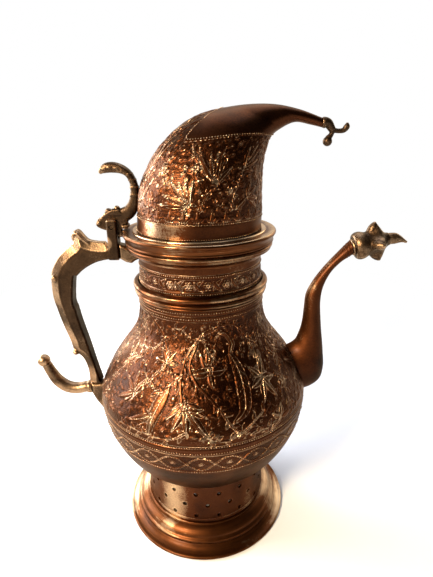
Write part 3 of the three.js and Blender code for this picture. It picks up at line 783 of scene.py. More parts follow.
@dataclass
class Workshop:
    """The shared frame and metals, and the making of finished pieces."""

    axis_x: float
    metals: dict[Metal, bpy.types.Material]
    shrink: float = 0.5
    swell: float = -0.52
    weld_reach: float = 1e-6

    def raw(self, name: str, shells: Sequence[Shell]) -> bpy.types.Object:
        """Put skins into the scene as one object."""
        return placed(name, to_mesh(name, shells, self.axis_x))

    def centred(self, name: str, shells: Sequence[Shell]) -> bpy.types.Object:
        """Put skins into the scene about the world's own Z axis, ready to be repeated round it.

        Args:
            name: The object's name.
            shells: The skins, in millimetres from the axis.

        Returns:
            The object.
        """
        obj = self.raw(name, shells)
        obj.data.transform(Matrix.Translation((-self.axis_x * MM, 0, 0)))
        return obj

    def welded(self, obj: bpy.types.Object) -> bpy.types.Object:
        """Merge points that share a place, as at poles."""
        obj.modifiers.new("weld", "WELD").merge_threshold = self.weld_reach
        return baked(obj)

    def fused(self, name: str, shells: Sequence[Shell], voxel: float, rounds: int) -> bpy.types.Object:
        """Melt overlapping skins into one, as a casting is.

        Args:
            name: The piece's name.
            shells: The skins.
            voxel: Size of the detail that stays, in millimetres.
            rounds: How often the surface is relaxed.

        Returns:
            The object.
        """
        obj = self.raw(name, shells)
        remesh = obj.modifiers.new("melt", "REMESH")
        remesh.mode = "VOXEL"
        remesh.voxel_size = voxel * MM
        baked(obj)
        edges, place = mesh_edges(obj.data), mesh_points(obj.data)
        for turn in range(2 * rounds):
            # A shrinking and a swelling round in turn keep the size
            share = self.swell if turn % 2 else self.shrink
            place += share * (neighbour_mean(place, edges) - place)
        obj.data.vertices.foreach_set("co", (place * MM).astype(np.float32).ravel())
        obj.data.update()
        return obj

    def cut(self, obj: bpy.types.Object, cutter: bpy.types.Object) -> None:
        """Cut one object out of another and drop it.

        Args:
            obj: What is cut.
            cutter: What is cut out of it.
        """
        change = obj.modifiers.new("cut", "BOOLEAN")
        change.object, change.solver, change.operation = cutter, "EXACT", "DIFFERENCE"
        baked(obj)
        bpy.data.objects.remove(cutter)

    def carved(self, obj: bpy.types.Object, *tools: Shell) -> None:
        """Cut tools out of an object."""
        for tool in tools:
            self.cut(obj, self.welded(self.raw("cutter", [tool])))

    def cast(
        self, node: str, shells: Sequence[Shell], voxel: float, relax: int, *tools: Shell, body: str = POT,
        wear: float = PLAIN[WEAR], sharp: float = 50.0, gain: float = 0.4, rounds: int = 1,
    ) -> None:
        """Cast a fitting, bore it and dress it.

        Args:
            node: The solid it stands for.
            shells: The skins that melt into it.
            voxel: Size of the detail that stays, in millimetres.
            relax: How often the surface is relaxed.
            tools: What is cut out of it.
            body: The body it rides on.
            wear: How rubbed it is all over.
            sharp: Angle in degrees above which an edge stays crisp.
            gain: How strongly bends change the wear.
            rounds: How far wear spreads.
        """
        obj = self.fused(f"{node}_cast", shells, voxel, relax)
        self.carved(obj, *tools)
        traits = {WEAR: np.full(len(obj.data.vertices), wear)}
        self.finish(obj, Metal.CAST, body, [node], sharp=sharp, traits=traits, gain=gain, rounds=rounds)

    def chased(self, node: str, shell: Shell, traits: dict[str, np.ndarray], body: str = POT) -> None:
        """Dress a chased sheet, whose wear comes from its relief rather than from its bends."""
        piece = self.raw(f"{node}_chased", [shell])
        self.finish(piece, Metal.CHASED, body, [node], sharp=60, traits=traits, gain=0.08, rounds=0)

    def finish(
        self, obj: bpy.types.Object, metal: Metal, body: str, nodes: Sequence[str] = (), sharp: float = 40.0,
        traits: dict[str, np.ndarray] | None = None, gain: float = 0.25, rounds: int = 1,
    ) -> None:
        """Dress a piece: wear along edges, dark in hollows, its metal, its body and what it stands for.

        Args:
            obj: The piece.
            metal: What it is made of.
            body: The body it rides on.
            nodes: The solids it stands for.
            sharp: Angle in degrees above which an edge stays crisp.
            traits: Known values at each point: wear from 0 in hollows to 1 on edges, which on some pieces also
            carries painted highlights and painted shade, matted ground from 0 to 1, distance to a chased line in
            millimetres, and added roughness.
            gain: How strongly bends of one per millimetre change the wear.
            rounds: How far wear spreads.
        """
        mesh = obj.data
        mesh.materials.clear()
        mesh.materials.append(self.metals[metal])
        mesh.polygons.foreach_set("material_index", np.zeros(len(mesh.polygons), np.int32))
        mesh.shade_smooth()
        mesh.set_sharp_from_angle(angle=math.radians(sharp))
        place, edges = mesh_points(mesh), mesh_edges(mesh)
        normals = np.zeros(len(place) * 3, np.float32)
        mesh.vertices.foreach_get("normal", normals)
        pull = np.einsum("ij,ij->i", neighbour_mean(place, edges) - place, normals.reshape(-1, 3))
        span = np.linalg.norm(place[edges[:, 0]] - place[edges[:, 1]], axis=1) ** 2
        reach = np.zeros(len(place))
        np.maximum.at(reach, edges[:, 0], span)
        np.maximum.at(reach, edges[:, 1], span)
        bend = np.clip(-2 * pull / np.maximum(reach, 1e-6), -2, 2)
        for _ in range(rounds):
            bend = 0.5 * bend + 0.5 * neighbour_mean(bend, edges)
        known = {name: np.full(len(place), plain) for name, plain in PLAIN.items()}
        known.update(traits or {})
        known[WEAR] = np.clip(known[WEAR] + gain * bend, 0, 1)
        for trait, values in known.items():
            layer = mesh.attributes.new(trait, "FLOAT", "POINT")
            layer.data.foreach_set("value", values.astype(np.float32))
        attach(obj, body)
        if nodes:
            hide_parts(*nodes)
        log.info("%s: %d faces, %s", obj.name, len(mesh.polygons), metal.value)


# Repeats


def group(name: str, sockets: dict[str, str]) -> tuple[Tree, bpy.types.Node, bpy.types.Node, dict[str, str]]:
    """Start a geometry tree with named inputs.

    Args:
        name: The tree's name.
        sockets: Input names with their socket types.

    Returns:
        The tree, its input and output nodes, and each input's identifier by name.
    """
    tree = bpy.data.node_groups.new(name, "GeometryNodeTree")
    known = {}
    for label, kind in {"Geometry": "NodeSocketGeometry", **sockets}.items():
        known[label] = tree.interface.new_socket(name=label, in_out="INPUT", socket_type=kind).identifier
    tree.interface.new_socket(name="Geometry", in_out="OUTPUT", socket_type="NodeSocketGeometry")
    return tree, add_node(tree, "NodeGroupInput"), add_node(tree, "NodeGroupOutput"), known


def grown(obj: bpy.types.Object, tree: Tree, known: dict[str, str], inputs: dict[str, object]) -> bpy.types.Object:
    """Run a geometry tree on an object and keep the plain result.

    Args:
        obj: The object.
        tree: The tree.
        known: Each input's identifier by name.
        inputs: Values by input name.

    Returns:
        The same object, with its new mesh.
    """
    modifier = obj.modifiers.new(tree.name, "NODES")
    modifier.node_group = tree
    for name, value in inputs.items():
        modifier[known[name]] = value
    return baked(obj)


def end_tree(tree: Tree, source: bpy.types.Node, metal: bpy.types.Material, end: bpy.types.Node) -> None:
    """End a geometry tree: real copies, in their metal.

    Args:
        tree: The tree.
        source: The node that makes the copies.
        metal: What they are made of.
        end: The tree's output node.
    """
    real = add_node(tree, "GeometryNodeRealizeInstances", links={0: source})
    dressed = add_node(tree, "GeometryNodeSetMaterial", values={"Material": metal}, links={0: real})
    tree.links.new(dressed.outputs[0], end.inputs[0])


def pearl_tree(metal: bpy.types.Material) -> tuple[Tree, dict[str, str]]:
    """Build the tree that sets a row of punched pearls along a line.

    Args:
        metal: What the pearls are made of.

    Returns:
        The tree, and each input's identifier by name.
    """
    tree, start, end, known = group("pearl_row", {"Spacing": "NodeSocketFloat", "Radius": "NodeSocketFloat"})
    curve = add_node(tree, "GeometryNodeMeshToCurve", links={0: start})
    given = start.outputs
    seats = add_node(
        tree, "GeometryNodeCurveToPoints", {"mode": "LENGTH"}, links={0: curve, "Length": given["Spacing"]}
    )
    pearl = add_node(
        tree, "GeometryNodeMeshUVSphere", values={"Segments": 8, "Rings": 5}, links={"Radius": given["Radius"]}
    )
    size = add_node(tree, "FunctionNodeRandomValue", {"data_type": "FLOAT"}, values={2: 0.8, 3: 1.15, "Seed": SEED})
    row = add_node(
        tree, "GeometryNodeInstanceOnPoints", links={"Points": seats, "Instance": pearl, "Scale": size.outputs[1]}
    )
    end_tree(tree, row, metal, end)
    return tree, known


def ring_tree(name: str, metal: bpy.types.Material) -> tuple[Tree, dict[str, str]]:
    """Build the tree that repeats a shape round the Z axis, in rows, each half a step on from the last.

    Args:
        name: The tree's name.
        metal: What the shape is made of.

    Returns:
        The tree, and each input's identifier by name.
    """
    tree, start, end, known = group(
        name, {"Count": "NodeSocketInt", "Rows": "NodeSocketInt", "Pitch": "NodeSocketFloat", "Turn": "NodeSocketFloat"}
    )
    given = start.outputs
    total = add_node(tree, "ShaderNodeMath", {"operation": "MULTIPLY"}, links={0: given["Count"], 1: given["Rows"]})
    seats = add_node(tree, "GeometryNodePoints", links={"Count": total})
    index = add_node(tree, "GeometryNodeInputIndex")
    ratio = add_node(tree, "ShaderNodeMath", {"operation": "DIVIDE"}, links={0: index, 1: given["Count"]})
    row = add_node(tree, "ShaderNodeMath", {"operation": "FLOOR"}, links={0: ratio})
    half = add_node(tree, "ShaderNodeMath", {"operation": "MULTIPLY"}, values={1: 0.5}, links={0: row})
    place = add_node(tree, "ShaderNodeMath", {"operation": "ADD"}, links={0: index, 1: half})
    share = add_node(tree, "ShaderNodeMath", {"operation": "DIVIDE"}, links={0: place, 1: given["Count"]})
    turn = add_node(
        tree, "ShaderNodeMath", {"operation": "MULTIPLY_ADD"}, {1: 2 * math.pi}, {0: share, 2: given["Turn"]}
    )
    lift = add_node(tree, "ShaderNodeMath", {"operation": "MULTIPLY"}, links={0: row, 1: given["Pitch"]})
    raised, about = (add_node(tree, "ShaderNodeCombineXYZ", links={2: upright}) for upright in (lift, turn))
    moved = add_node(tree, "GeometryNodeSetPosition", links={0: seats, "Offset": raised})
    ring = add_node(
        tree, "GeometryNodeInstanceOnPoints", links={"Points": moved, "Instance": given[0], "Rotation": about}
    )
    end_tree(tree, ring, metal, end)
    return tree, known


@dataclass
class Pearls:
    """Rows of small punched pearls that border the chased bands."""

    shop: Workshop
    name: str
    body: str
    proud: float = 0.05
    wear: float = 0.66
    rows: list[tuple[Line, float, float]] = field(default_factory=list)

    def rings(self, section: Line, heights: Sequence[float], spacing: float = 1.5, size: float = 0.36) -> None:
        """Add rows round a turned section at its heights.

        Args:
            section: The turned section, radius and height, upwards.
            heights: Where the rows lie.
            spacing: Distance between pearls.
            size: Radius of a pearl.
        """
        for height in heights:
            path = arc((0, 0), float(radius_at(section, height)) + self.proud, 0, 357, 120)
            self.line(np.column_stack([path, np.full(len(path), height)]), spacing, size)

    def line(self, path: Line, spacing: float, size: float) -> None:
        """Add a closed row along a path."""
        self.rows.append((path, spacing, size))

    def make(self) -> None:
        """Set all rows and join them into one piece."""
        tree, known = pearl_tree(self.shop.metals[Metal.CHASED])
        shells = []
        for path, spacing, size in self.rows:
            mesh = bpy.data.meshes.new(self.name)
            count = len(path)
            edges = [(i, (i + 1) % count) for i in range(count)]
            mesh.from_pydata(((path + (self.shop.axis_x, 0, 0)) * MM).tolist(), edges, [])
            row = grown(placed(self.name, mesh), tree, known, {"Spacing": spacing * MM, "Radius": size * MM})
            shells.append(taken(row, self.shop.axis_x))
        piece = self.shop.raw(self.name, shells)
        traits = {WEAR: np.full(len(piece.data.vertices), self.wear)}
        self.shop.finish(piece, Metal.CHASED, self.body, traits=traits, gain=0.0)


# Chased work


class Relief:
    """Chased work on a sheet, drawn in millimetres round it and up it.

    Chased lines are kept as the distance to the nearest one, so that they stay finer than the mesh.
    """

    GROUND_DEPTH = 0.26
    GROUND_EDGE = 0.7
    GRIT = 0.03
    CROWN = 0.2
    CROWN_REACH = 1.6
    LINE_SINK = 0.12
    LINE_REACH = 0.5
    MARGIN = 1.4
    VEINED_FROM = 1.3
    VEIN_PITCH = 2.3
    FILLER_LINE = 0.14
    WEAR_GROUND = 0.3
    WEAR_MOTIF = 0.11
    WEAR_CROWN = 0.05
    WEAR_INSIDE = 0.42
    FAR = PLAIN[LINE]

    def __init__(self, columns: int, up: np.ndarray, girth: float) -> None:
        """Start with a plain sheet.

        Args:
            columns: How many columns stand round the sheet.
            up: Places of the rows up it.
            girth: Full length round.
        """
        self.around, self.up, self.girth = np.arange(columns) * girth / columns, up, girth
        shape = (len(up), columns)
        self.motif, self.crown, self.gap = np.ones(shape), np.zeros(shape), np.full(shape, self.FAR)
        self.thin = 0.0

    def sink(self, low: float, high: float) -> None:
        """Sink the ground between two heights, ready for motifs."""
        depth = np.minimum(self.up - low, high - self.up)
        self.sink_where(depth[:, None] + np.zeros(len(self.around)))

    def sink_where(self, depth: np.ndarray) -> None:
        """Sink the ground where a depth in millimetres is positive."""
        self.motif *= 1 - ease(depth / self.GROUND_EDGE)
        self.gap = np.minimum(self.gap, np.abs(depth))

    def rule(self, *heights: float) -> None:
        """Chase plain lines all round at their heights."""
        for height in heights:
            self.gap = np.minimum(self.gap, np.abs(self.up - height)[:, None])

    def patch(self, shape: Line, margin: float) -> tuple[tuple, np.ndarray, np.ndarray]:
        """Return the part of the sheet near a shape, with its places round and up.

        Args:
            shape: Points round and up.
            margin: How far round them it reaches.

        Returns:
            Its index, and its places round and up.
        """
        low, high = shape.min(0) - margin, shape.max(0) + margin
        rows = np.nonzero((self.up >= low[1]) & (self.up <= high[1]))[0]
        middle = (low[0] + high[0]) / 2
        local = (self.around - middle + self.girth / 2) % self.girth - self.girth / 2 + middle
        columns = np.nonzero((local >= low[0]) & (local <= high[0]))[0]
        s, t = np.meshgrid(local[columns], self.up[rows])
        return np.ix_(rows, columns), s, t

    def stamp(self, part: tuple, depth: np.ndarray, cuts: np.ndarray) -> None:
        """Lay a motif over what is there.

        Args:
            part: The part of the sheet.
            depth: Distance inside the motif's edge, in millimetres.
            cuts: Distance to the nearest line cut into the motif.
        """
        cover = ease(depth / 0.5 + 0.5)
        inner = np.minimum(depth, cuts)
        outer = np.minimum(self.gap[part], -depth + self.thin)
        self.gap[part] = np.where(depth > 0, np.maximum(inner, 0) + self.thin, np.maximum(outer, 0))
        self.motif[part] = np.maximum(self.motif[part], cover)
        self.crown[part] = self.crown[part] * (1 - cover) + cover * ease(depth / self.CROWN_REACH)

    def ribbon(self, path: Line, width: Callable[[np.ndarray], np.ndarray], vein: bool = False) -> None:
        """Chase a leaf or a stem along a path.

        Args:
            path: Its middle line, round and up.
            width: Half width from the share along the path.
            vein: Whether a line is cut down the middle, with side veins.
        """
        part, s, t = self.patch(path, float(np.max(width(np.linspace(0, 1, 9)))) + self.MARGIN)
        if not s.size:
            return
        best, along = np.full(s.shape, np.inf), np.zeros(s.shape)
        steps = len(path) - 1
        for i in range(steps):
            a, run = path[i], path[i + 1] - path[i]
            share = np.clip(((s - a[0]) * run[0] + (t - a[1]) * run[1]) / max(run @ run, 1e-9), 0, 1)
            gap = np.hypot(s - a[0] - share * run[0], t - a[1] - share * run[1])
            near = gap < best
            best[near] = gap[near]
            along[near] = (i + share[near]) / steps
        half = width(along)
        cuts = np.full(s.shape, self.FAR)
        if vein:
            length = arc_length(path)[-1]
            cuts = np.where((along > 0.04) & (along < 0.94), best, cuts)
            side = np.abs(((along * length - 0.8 * best) / self.VEIN_PITCH) % 1 - 0.5) * self.VEIN_PITCH
            cuts = np.where((best > 0.4) & (half > 2.2), np.minimum(cuts, side + 0.1), cuts)
        self.stamp(part, half - best, cuts)

    def leaf(self, root: Sequence[float], tip: Sequence[float], half: float, bend: float = 0.0) -> None:
        """Chase a pointed leaf from its root to its tip, bent to the left by a length.

        Args:
            root: Where it starts.
            tip: Where it ends.
            half: Greatest half width.
            bend: How far it bows to the left.
        """
        a, b = np.array(root, float), np.array(tip, float)
        run = b - a
        side = np.array([-run[1], run[0]]) / max(np.hypot(*run), 1e-9)
        share = np.linspace(0, 1, 11)[:, None]
        path = a + share * run + 4 * bend * share * (1 - share) * side

        def width(x: np.ndarray) -> np.ndarray:
            """Return the half width: full in the middle and pointed at both ends."""
            return half * np.sin(np.pi * np.clip(x, 0, 1) ** 0.8) ** 0.85 + 0.05

        self.ribbon(path, width, vein=half > self.VEINED_FROM)

    def twig(self, knots: Line, start: float, end: float, reach: float = 4.4) -> None:
        """Chase a stem that tapers between two half widths, with small leaves on both sides by turns.

        Args:
            knots: What it passes through.
            start: Half width at its root.
            end: Half width at its tip.
            reach: Length of its leaves.
        """
        path = spline(knots, 6 * len(knots))
        marks = respaced(path, 0.8 * reach)
        for i, (place, run) in enumerate(zip(marks, np.gradient(marks, axis=0))):
            angle = math.atan2(run[1], run[0]) + (0.85 if i % 2 else -0.85)
            tip = place + reach * np.array([math.cos(angle), math.sin(angle)])
            self.leaf(place, tip, 0.22 * reach, 0.1 * reach)
        self.ribbon(path, lambda x: start + (end - start) * x)

    def flower(self, centre: Sequence[float], radius: float, petals: int, turn: float = 0.0) -> None:
        """Chase an open flower with a ringed eye.

        Args:
            centre: Its middle.
            radius: Its reach.
            petals: How many petals it has.
            turn: Angle of the first one, in radians.
        """
        middle = np.array(centre, float)
        part, s, t = self.patch(np.vstack([middle - radius, middle + radius]), self.MARGIN)
        if not s.size:
            return
        dist, angle = np.hypot(s - middle[0], t - middle[1]), np.arctan2(t - middle[1], s - middle[0]) - turn
        wave = np.abs(np.cos(petals * angle / 2))
        depth = radius * (0.6 + 0.4 * wave**0.6) - dist
        valley = np.where(dist > 0.3 * radius, dist * wave / petals * 2, self.FAR)
        rib = dist * np.abs(np.sin(petals * angle / 2)) / petals * 2 + 0.1
        rib = np.where((dist > 0.42 * radius) & (dist < 0.82 * radius) & (radius > 3.0), rib, self.FAR)
        eye = np.abs(dist - 0.28 * radius)
        self.stamp(part, depth, np.minimum(np.minimum(valley, rib), eye))

    def spray(self, root: Sequence[float], turn: float, spread: float, count: int, length: float, half: float) -> None:
        """Chase a fan of leaves from one root, longest in the middle.

        Args:
            root: Where the leaves start.
            turn: Direction of the middle one, in degrees.
            spread: Angle of the fan, in degrees.
            count: How many leaves it has.
            length: Length of the longest.
            half: Greatest half width of a leaf.
        """
        for i in np.argsort(-np.abs(np.arange(count) - (count - 1) / 2)):
            off = (i - (count - 1) / 2) / max((count - 1) / 2, 1)
            angle = math.radians(turn + off * spread / 2)
            reach = length * (1 - 0.28 * abs(off))
            tip = (root[0] + reach * math.cos(angle), root[1] + reach * math.sin(angle))
            self.leaf(root, tip, half, bend=-0.08 * reach * off)

    def fill(
        self, low: float, high: float, tries: int, size: float, seed: int, guard: np.ndarray | None = None
    ) -> None:
        """Fill what is left of a ground with small sprigs and flowers.

        Args:
            low: Lowest height.
            high: Greatest height.
            tries: How many places are tried.
            size: Greatest size of a filler.
            seed: Start of the random draws.
            guard: Where nothing may go, as a share.
        """
        dice = np.random.default_rng(seed)
        self.thin = self.FILLER_LINE
        taken = self.motif if guard is None else np.maximum(self.motif, guard)
        for _ in range(tries):
            s, t = dice.uniform(0, self.girth), dice.uniform(low, high)
            radius, angle, kind = size * dice.uniform(0.55, 1.0), dice.uniform(0, 360), dice.random()
            part, ps, pt = self.patch(points((s - radius, t - radius), (s + radius, t + radius)), 0.0)
            if ps.size == 0 or t - radius < low or t + radius > high:
                continue
            close = np.hypot(ps - s, pt - t) < radius + 0.5
            if not close.any() or (taken[part][close]).mean() > 0.12:
                continue
            if kind < 0.3:
                self.flower((s, t), radius, 5 if kind < 0.15 else 6, math.radians(angle))
                continue
            run = radius * np.array([math.cos(math.radians(angle)), math.sin(math.radians(angle))])
            if kind < 0.75:
                self.spray((s - run[0], t - run[1]), angle, 90, 3, 1.9 * radius, 0.26 * radius + 0.25)
            else:
                self.leaf((s - run[0], t - run[1]), (s + run[0], t + run[1]), 0.42 * radius, 0.2 * radius)
        self.thin = 0.0

    def interlace(self, low: float, high: float, count: int, half: float) -> None:
        """Chase two waving strands that cross, with a pearl in each eye.

        Args:
            low: Foot of the band.
            high: Top of the band.
            count: Eyes round the sheet.
            half: Half width of a strand.
        """
        everywhere = np.ix_(np.arange(len(self.up)), np.arange(len(self.around)))
        s, t = np.meshgrid(self.around, self.up)
        middle, swing = (low + high) / 2, (high - low) / 2 - half - 0.5
        turn = math.pi * count / self.girth
        slope = np.sqrt(1 + (swing * turn * np.cos(turn * s)) ** 2)
        for sign in (1, -1):
            gap = np.abs(t - middle - sign * swing * np.sin(turn * s)) / slope
            self.stamp(everywhere, half - gap, np.full(gap.shape, self.FAR))
        for i in range(count):
            self.flower(((i + 0.5) * self.girth / count, middle), 1.6, 5)

    def height(self) -> np.ndarray:
        """Return how far the surface stands from the plain sheet, in millimetres."""
        dice = np.random.default_rng(SEED)
        ground = 1 - self.motif
        grit = dice.normal(0, self.GRIT, self.motif.shape) * ground
        soft = self.LINE_SINK * bump(self.gap, 0, self.LINE_REACH)
        return self.CROWN * self.crown - self.GROUND_DEPTH * ground - soft + grit

    def wear(self) -> np.ndarray:
        """Return how rubbed the surface is, from 0 in hollows to 1."""
        lightening = self.WEAR_MOTIF * self.motif + self.WEAR_CROWN * self.crown
        return np.clip(self.WEAR_GROUND + lightening, 0, 1)


def grid_normals(grid: np.ndarray) -> np.ndarray:
    """Return outward unit normals of a grid of rings.

    Args:
        grid: Rings of points.

    Returns:
        One normal a point.
    """
    up = np.gradient(grid, axis=0)
    around = np.roll(grid, -1, axis=1) - np.roll(grid, 1, axis=1)
    normal = np.cross(around, up)
    normal /= np.maximum(np.linalg.norm(normal, axis=-1), 1e-9)[..., None]
    out = grid - grid.mean(axis=1, keepdims=True)
    return normal * np.sign((normal * out).sum(-1).mean())


def chased_wall(
    outer: Line, inner: Line, relief: Relief, closed_foot: bool = False
) -> tuple[Shell, dict[str, np.ndarray]]:
    """Turn a chased sheet about the pot's axis.

    Args:
        outer: The outer section, radius and height, upwards, one point for each row of the relief.
        inner: The inner section, downwards.
        relief: The chased work.
        closed_foot: Whether both sections end on the axis at the foot.

    Returns:
        The skin, and its wear, matted ground and distance to a line, point by point.
    """
    turn = relief.around / relief.girth * 2 * math.pi
    lift, normal = relief.height(), wall_normals(outer)
    radius = outer[:, :1] + lift * normal[:, :1]
    height = outer[:, 1:] + lift * normal[:, 1:]
    ones = np.ones(len(turn))
    radius = np.vstack([radius, inner[:, :1] * ones])
    height = np.vstack([height, inner[:, 1:] * ones])
    shell = grid_shell(round_grid(radius, turn, height), not closed_foot)
    spare = len(shell.points) - relief.motif.size
    wear = np.concatenate([relief.wear().ravel(), np.full(spare, relief.WEAR_INSIDE)])
    ground = np.concatenate([(1 - relief.motif).ravel(), np.zeros(spare)])
    gap = np.concatenate([relief.gap.ravel(), np.full(spare, relief.FAR)])
    return shell, {WEAR: wear, GROUND: ground, LINE: gap}


# Sub-assemblies


@dataclass
class Foot:
    """The spun base with its wired edge, and the pierced drum that carries the belly."""

    shop: Workshop
    drum_radius: float = 42.6
    drum_foot: float = 16.3
    drum_top: float = 49.0
    columns: int = 420
    row_step: float = 0.55
    hole_radius: float = 1.6
    first_row: float = 21.5
    row_pitch: float = 9.3
    rows: int = 3
    per_row: int = 17
    hole_turn: float = -2.5
    drill_reach: float = 4.0

    def base(self) -> None:
        """Spin the base: wired edge, cove, two small steps and a rounded moulding."""
        outer = joined(
            points((55.3, 0.0), (56.6, 0.0)),
            arc((57.0, 1.25), 1.3, -60, 80, 11),
            bezier(points((56.2, 2.55), (54.2, 3.1), (52.6, 4.1), (51.7, 5.5)), 12),
            arc((49.9, 7.5), 1.85, -50, 65, 11),
            points((50.3, 9.5)),
            bezier(points((49.9, 9.9), (49.3, 12.4), (46.8, 14.6), (44.1, 15.1)), 14),
            arc((43.3, 15.5), 0.6, -20, 90, 6),
            points((40.8, 16.2), (40.7, 18.9), (39.4, 18.9), (39.4, 15.2)),
            points((42.5, 13.6), (46.2, 11.0), (48.2, 7.6), (50.0, 4.4)),
        )
        shell = turned(outer, FINE_ROUND)
        out, high = np.hypot(shell.points[:, 0], shell.points[:, 1]), shell.points[:, 2]
        # Painted highlight to the left of the front, and painted reflections on both sides; the wired edge is a little
        # lighter
        side = bearing(shell.points)
        lightening = bump(side, -32, 20) * ease((high - 6) / 3)
        painted_side_reflection = bump(np.abs(side + 5), 88, 26)
        wear = 0.3 + 0.3 * lightening + 0.1 * ease((out - 52.5) / 3) + 0.34 * painted_side_reflection
        piece = self.shop.raw("foot_base_spun", [shell])
        traits = {WEAR: wear, MATT: np.full(len(wear), 0.14)}
        self.shop.finish(piece, Metal.POLISHED, POT, ["foot_base"], sharp=50, traits=traits, gain=0.12)

    def holes(self) -> list[tuple[float, float]]:
        """Return the angle and height of each hole."""
        first = math.radians(self.hole_turn)
        return [
            ((i + 0.5 + row / 2) / self.per_row * 2 * math.pi + first, self.first_row + row * self.row_pitch)
            for row in range(self.rows)
            for i in range(self.per_row)
        ]

    def drill(self) -> bpy.types.Object:
        """Return one drill for each hole, as a single tool."""
        bit = points((POLE, -1), (self.hole_radius, -1), (self.hole_radius, 1), (POLE, 1)) * (1, self.drill_reach)
        tool = self.shop.centred("drill", [turned(bit, 16, False)])
        tool.data.transform(Matrix.Translation((self.drum_radius * MM, 0, 0)) @ Matrix.Rotation(math.pi / 2, 4, "Y"))
        tree, known = ring_tree("perforations", self.shop.metals[Metal.CHASED])
        turn = math.radians(self.hole_turn) + math.pi / self.per_row
        given = {"Count": self.per_row, "Rows": self.rows, "Pitch": self.row_pitch * MM, "Turn": turn}
        grown(tool, tree, known, given)
        tool.data.transform(Matrix.Translation((self.shop.axis_x * MM, 0, self.first_row * MM)))
        return tool

    def drum(self) -> None:
        """Roll the drum from sheet, pierce it with staggered rows and turn a fillet at each end."""
        foot, top, radius = self.drum_foot, self.drum_top, self.drum_radius
        up = np.linspace(foot, top, int(round((top - foot) / self.row_step)) + 1)
        relief = Relief(self.columns, up, 2 * math.pi * radius)
        for low, high in ((foot, foot + 2.0), (top - 2.4, top)):
            relief.crown += ease((up - low) / 0.6)[:, None] * ease((high - up) / 0.6)[:, None]
        relief.rule(foot + 2.3, top - 2.7)
        for angle, height in self.holes():
            centre = (angle * radius, height)
            part, s, t = relief.patch(points(centre), 4.0)
            # Piercing has left a low burr round each hole
            burr = bump(np.hypot(s - centre[0], t - centre[1]), 1.9, 0.6)
            relief.crown[part] = np.maximum(relief.crown[part], burr)
        outer = np.column_stack([np.full(len(up), radius - 0.15), up])
        inner = np.column_stack([np.full(3, radius - SHEET), (top, 32.0, foot)])
        shell, traits = chased_wall(outer, inner, relief)
        piece = self.shop.raw("foot_drum_pierced", [shell])
        self.shop.cut(piece, self.drill())
        skin = mesh_points(piece.data) - (self.shop.axis_x, 0, 0)
        traits = {name: nearest_value(skin, shell.points, values) for name, values in traits.items()}
        # Painted highlight on the drum to the left of its front, and a weaker one to the right; the whole drum is a
        # little darker
        side = bearing(skin)
        traits[WEAR] += 0.42 * (bump(side, -30, 15) + 0.5 * bump(side, 46, 9)) - 0.12
        traits[MATT] = np.full(len(skin), 0.2)
        self.shop.finish(piece, Metal.CHASED, POT, ["foot_drum"], sharp=50, traits=traits, gain=0.1)

    def build(self) -> None:
        """Make the base and the drum."""
        self.base()
        self.drum()


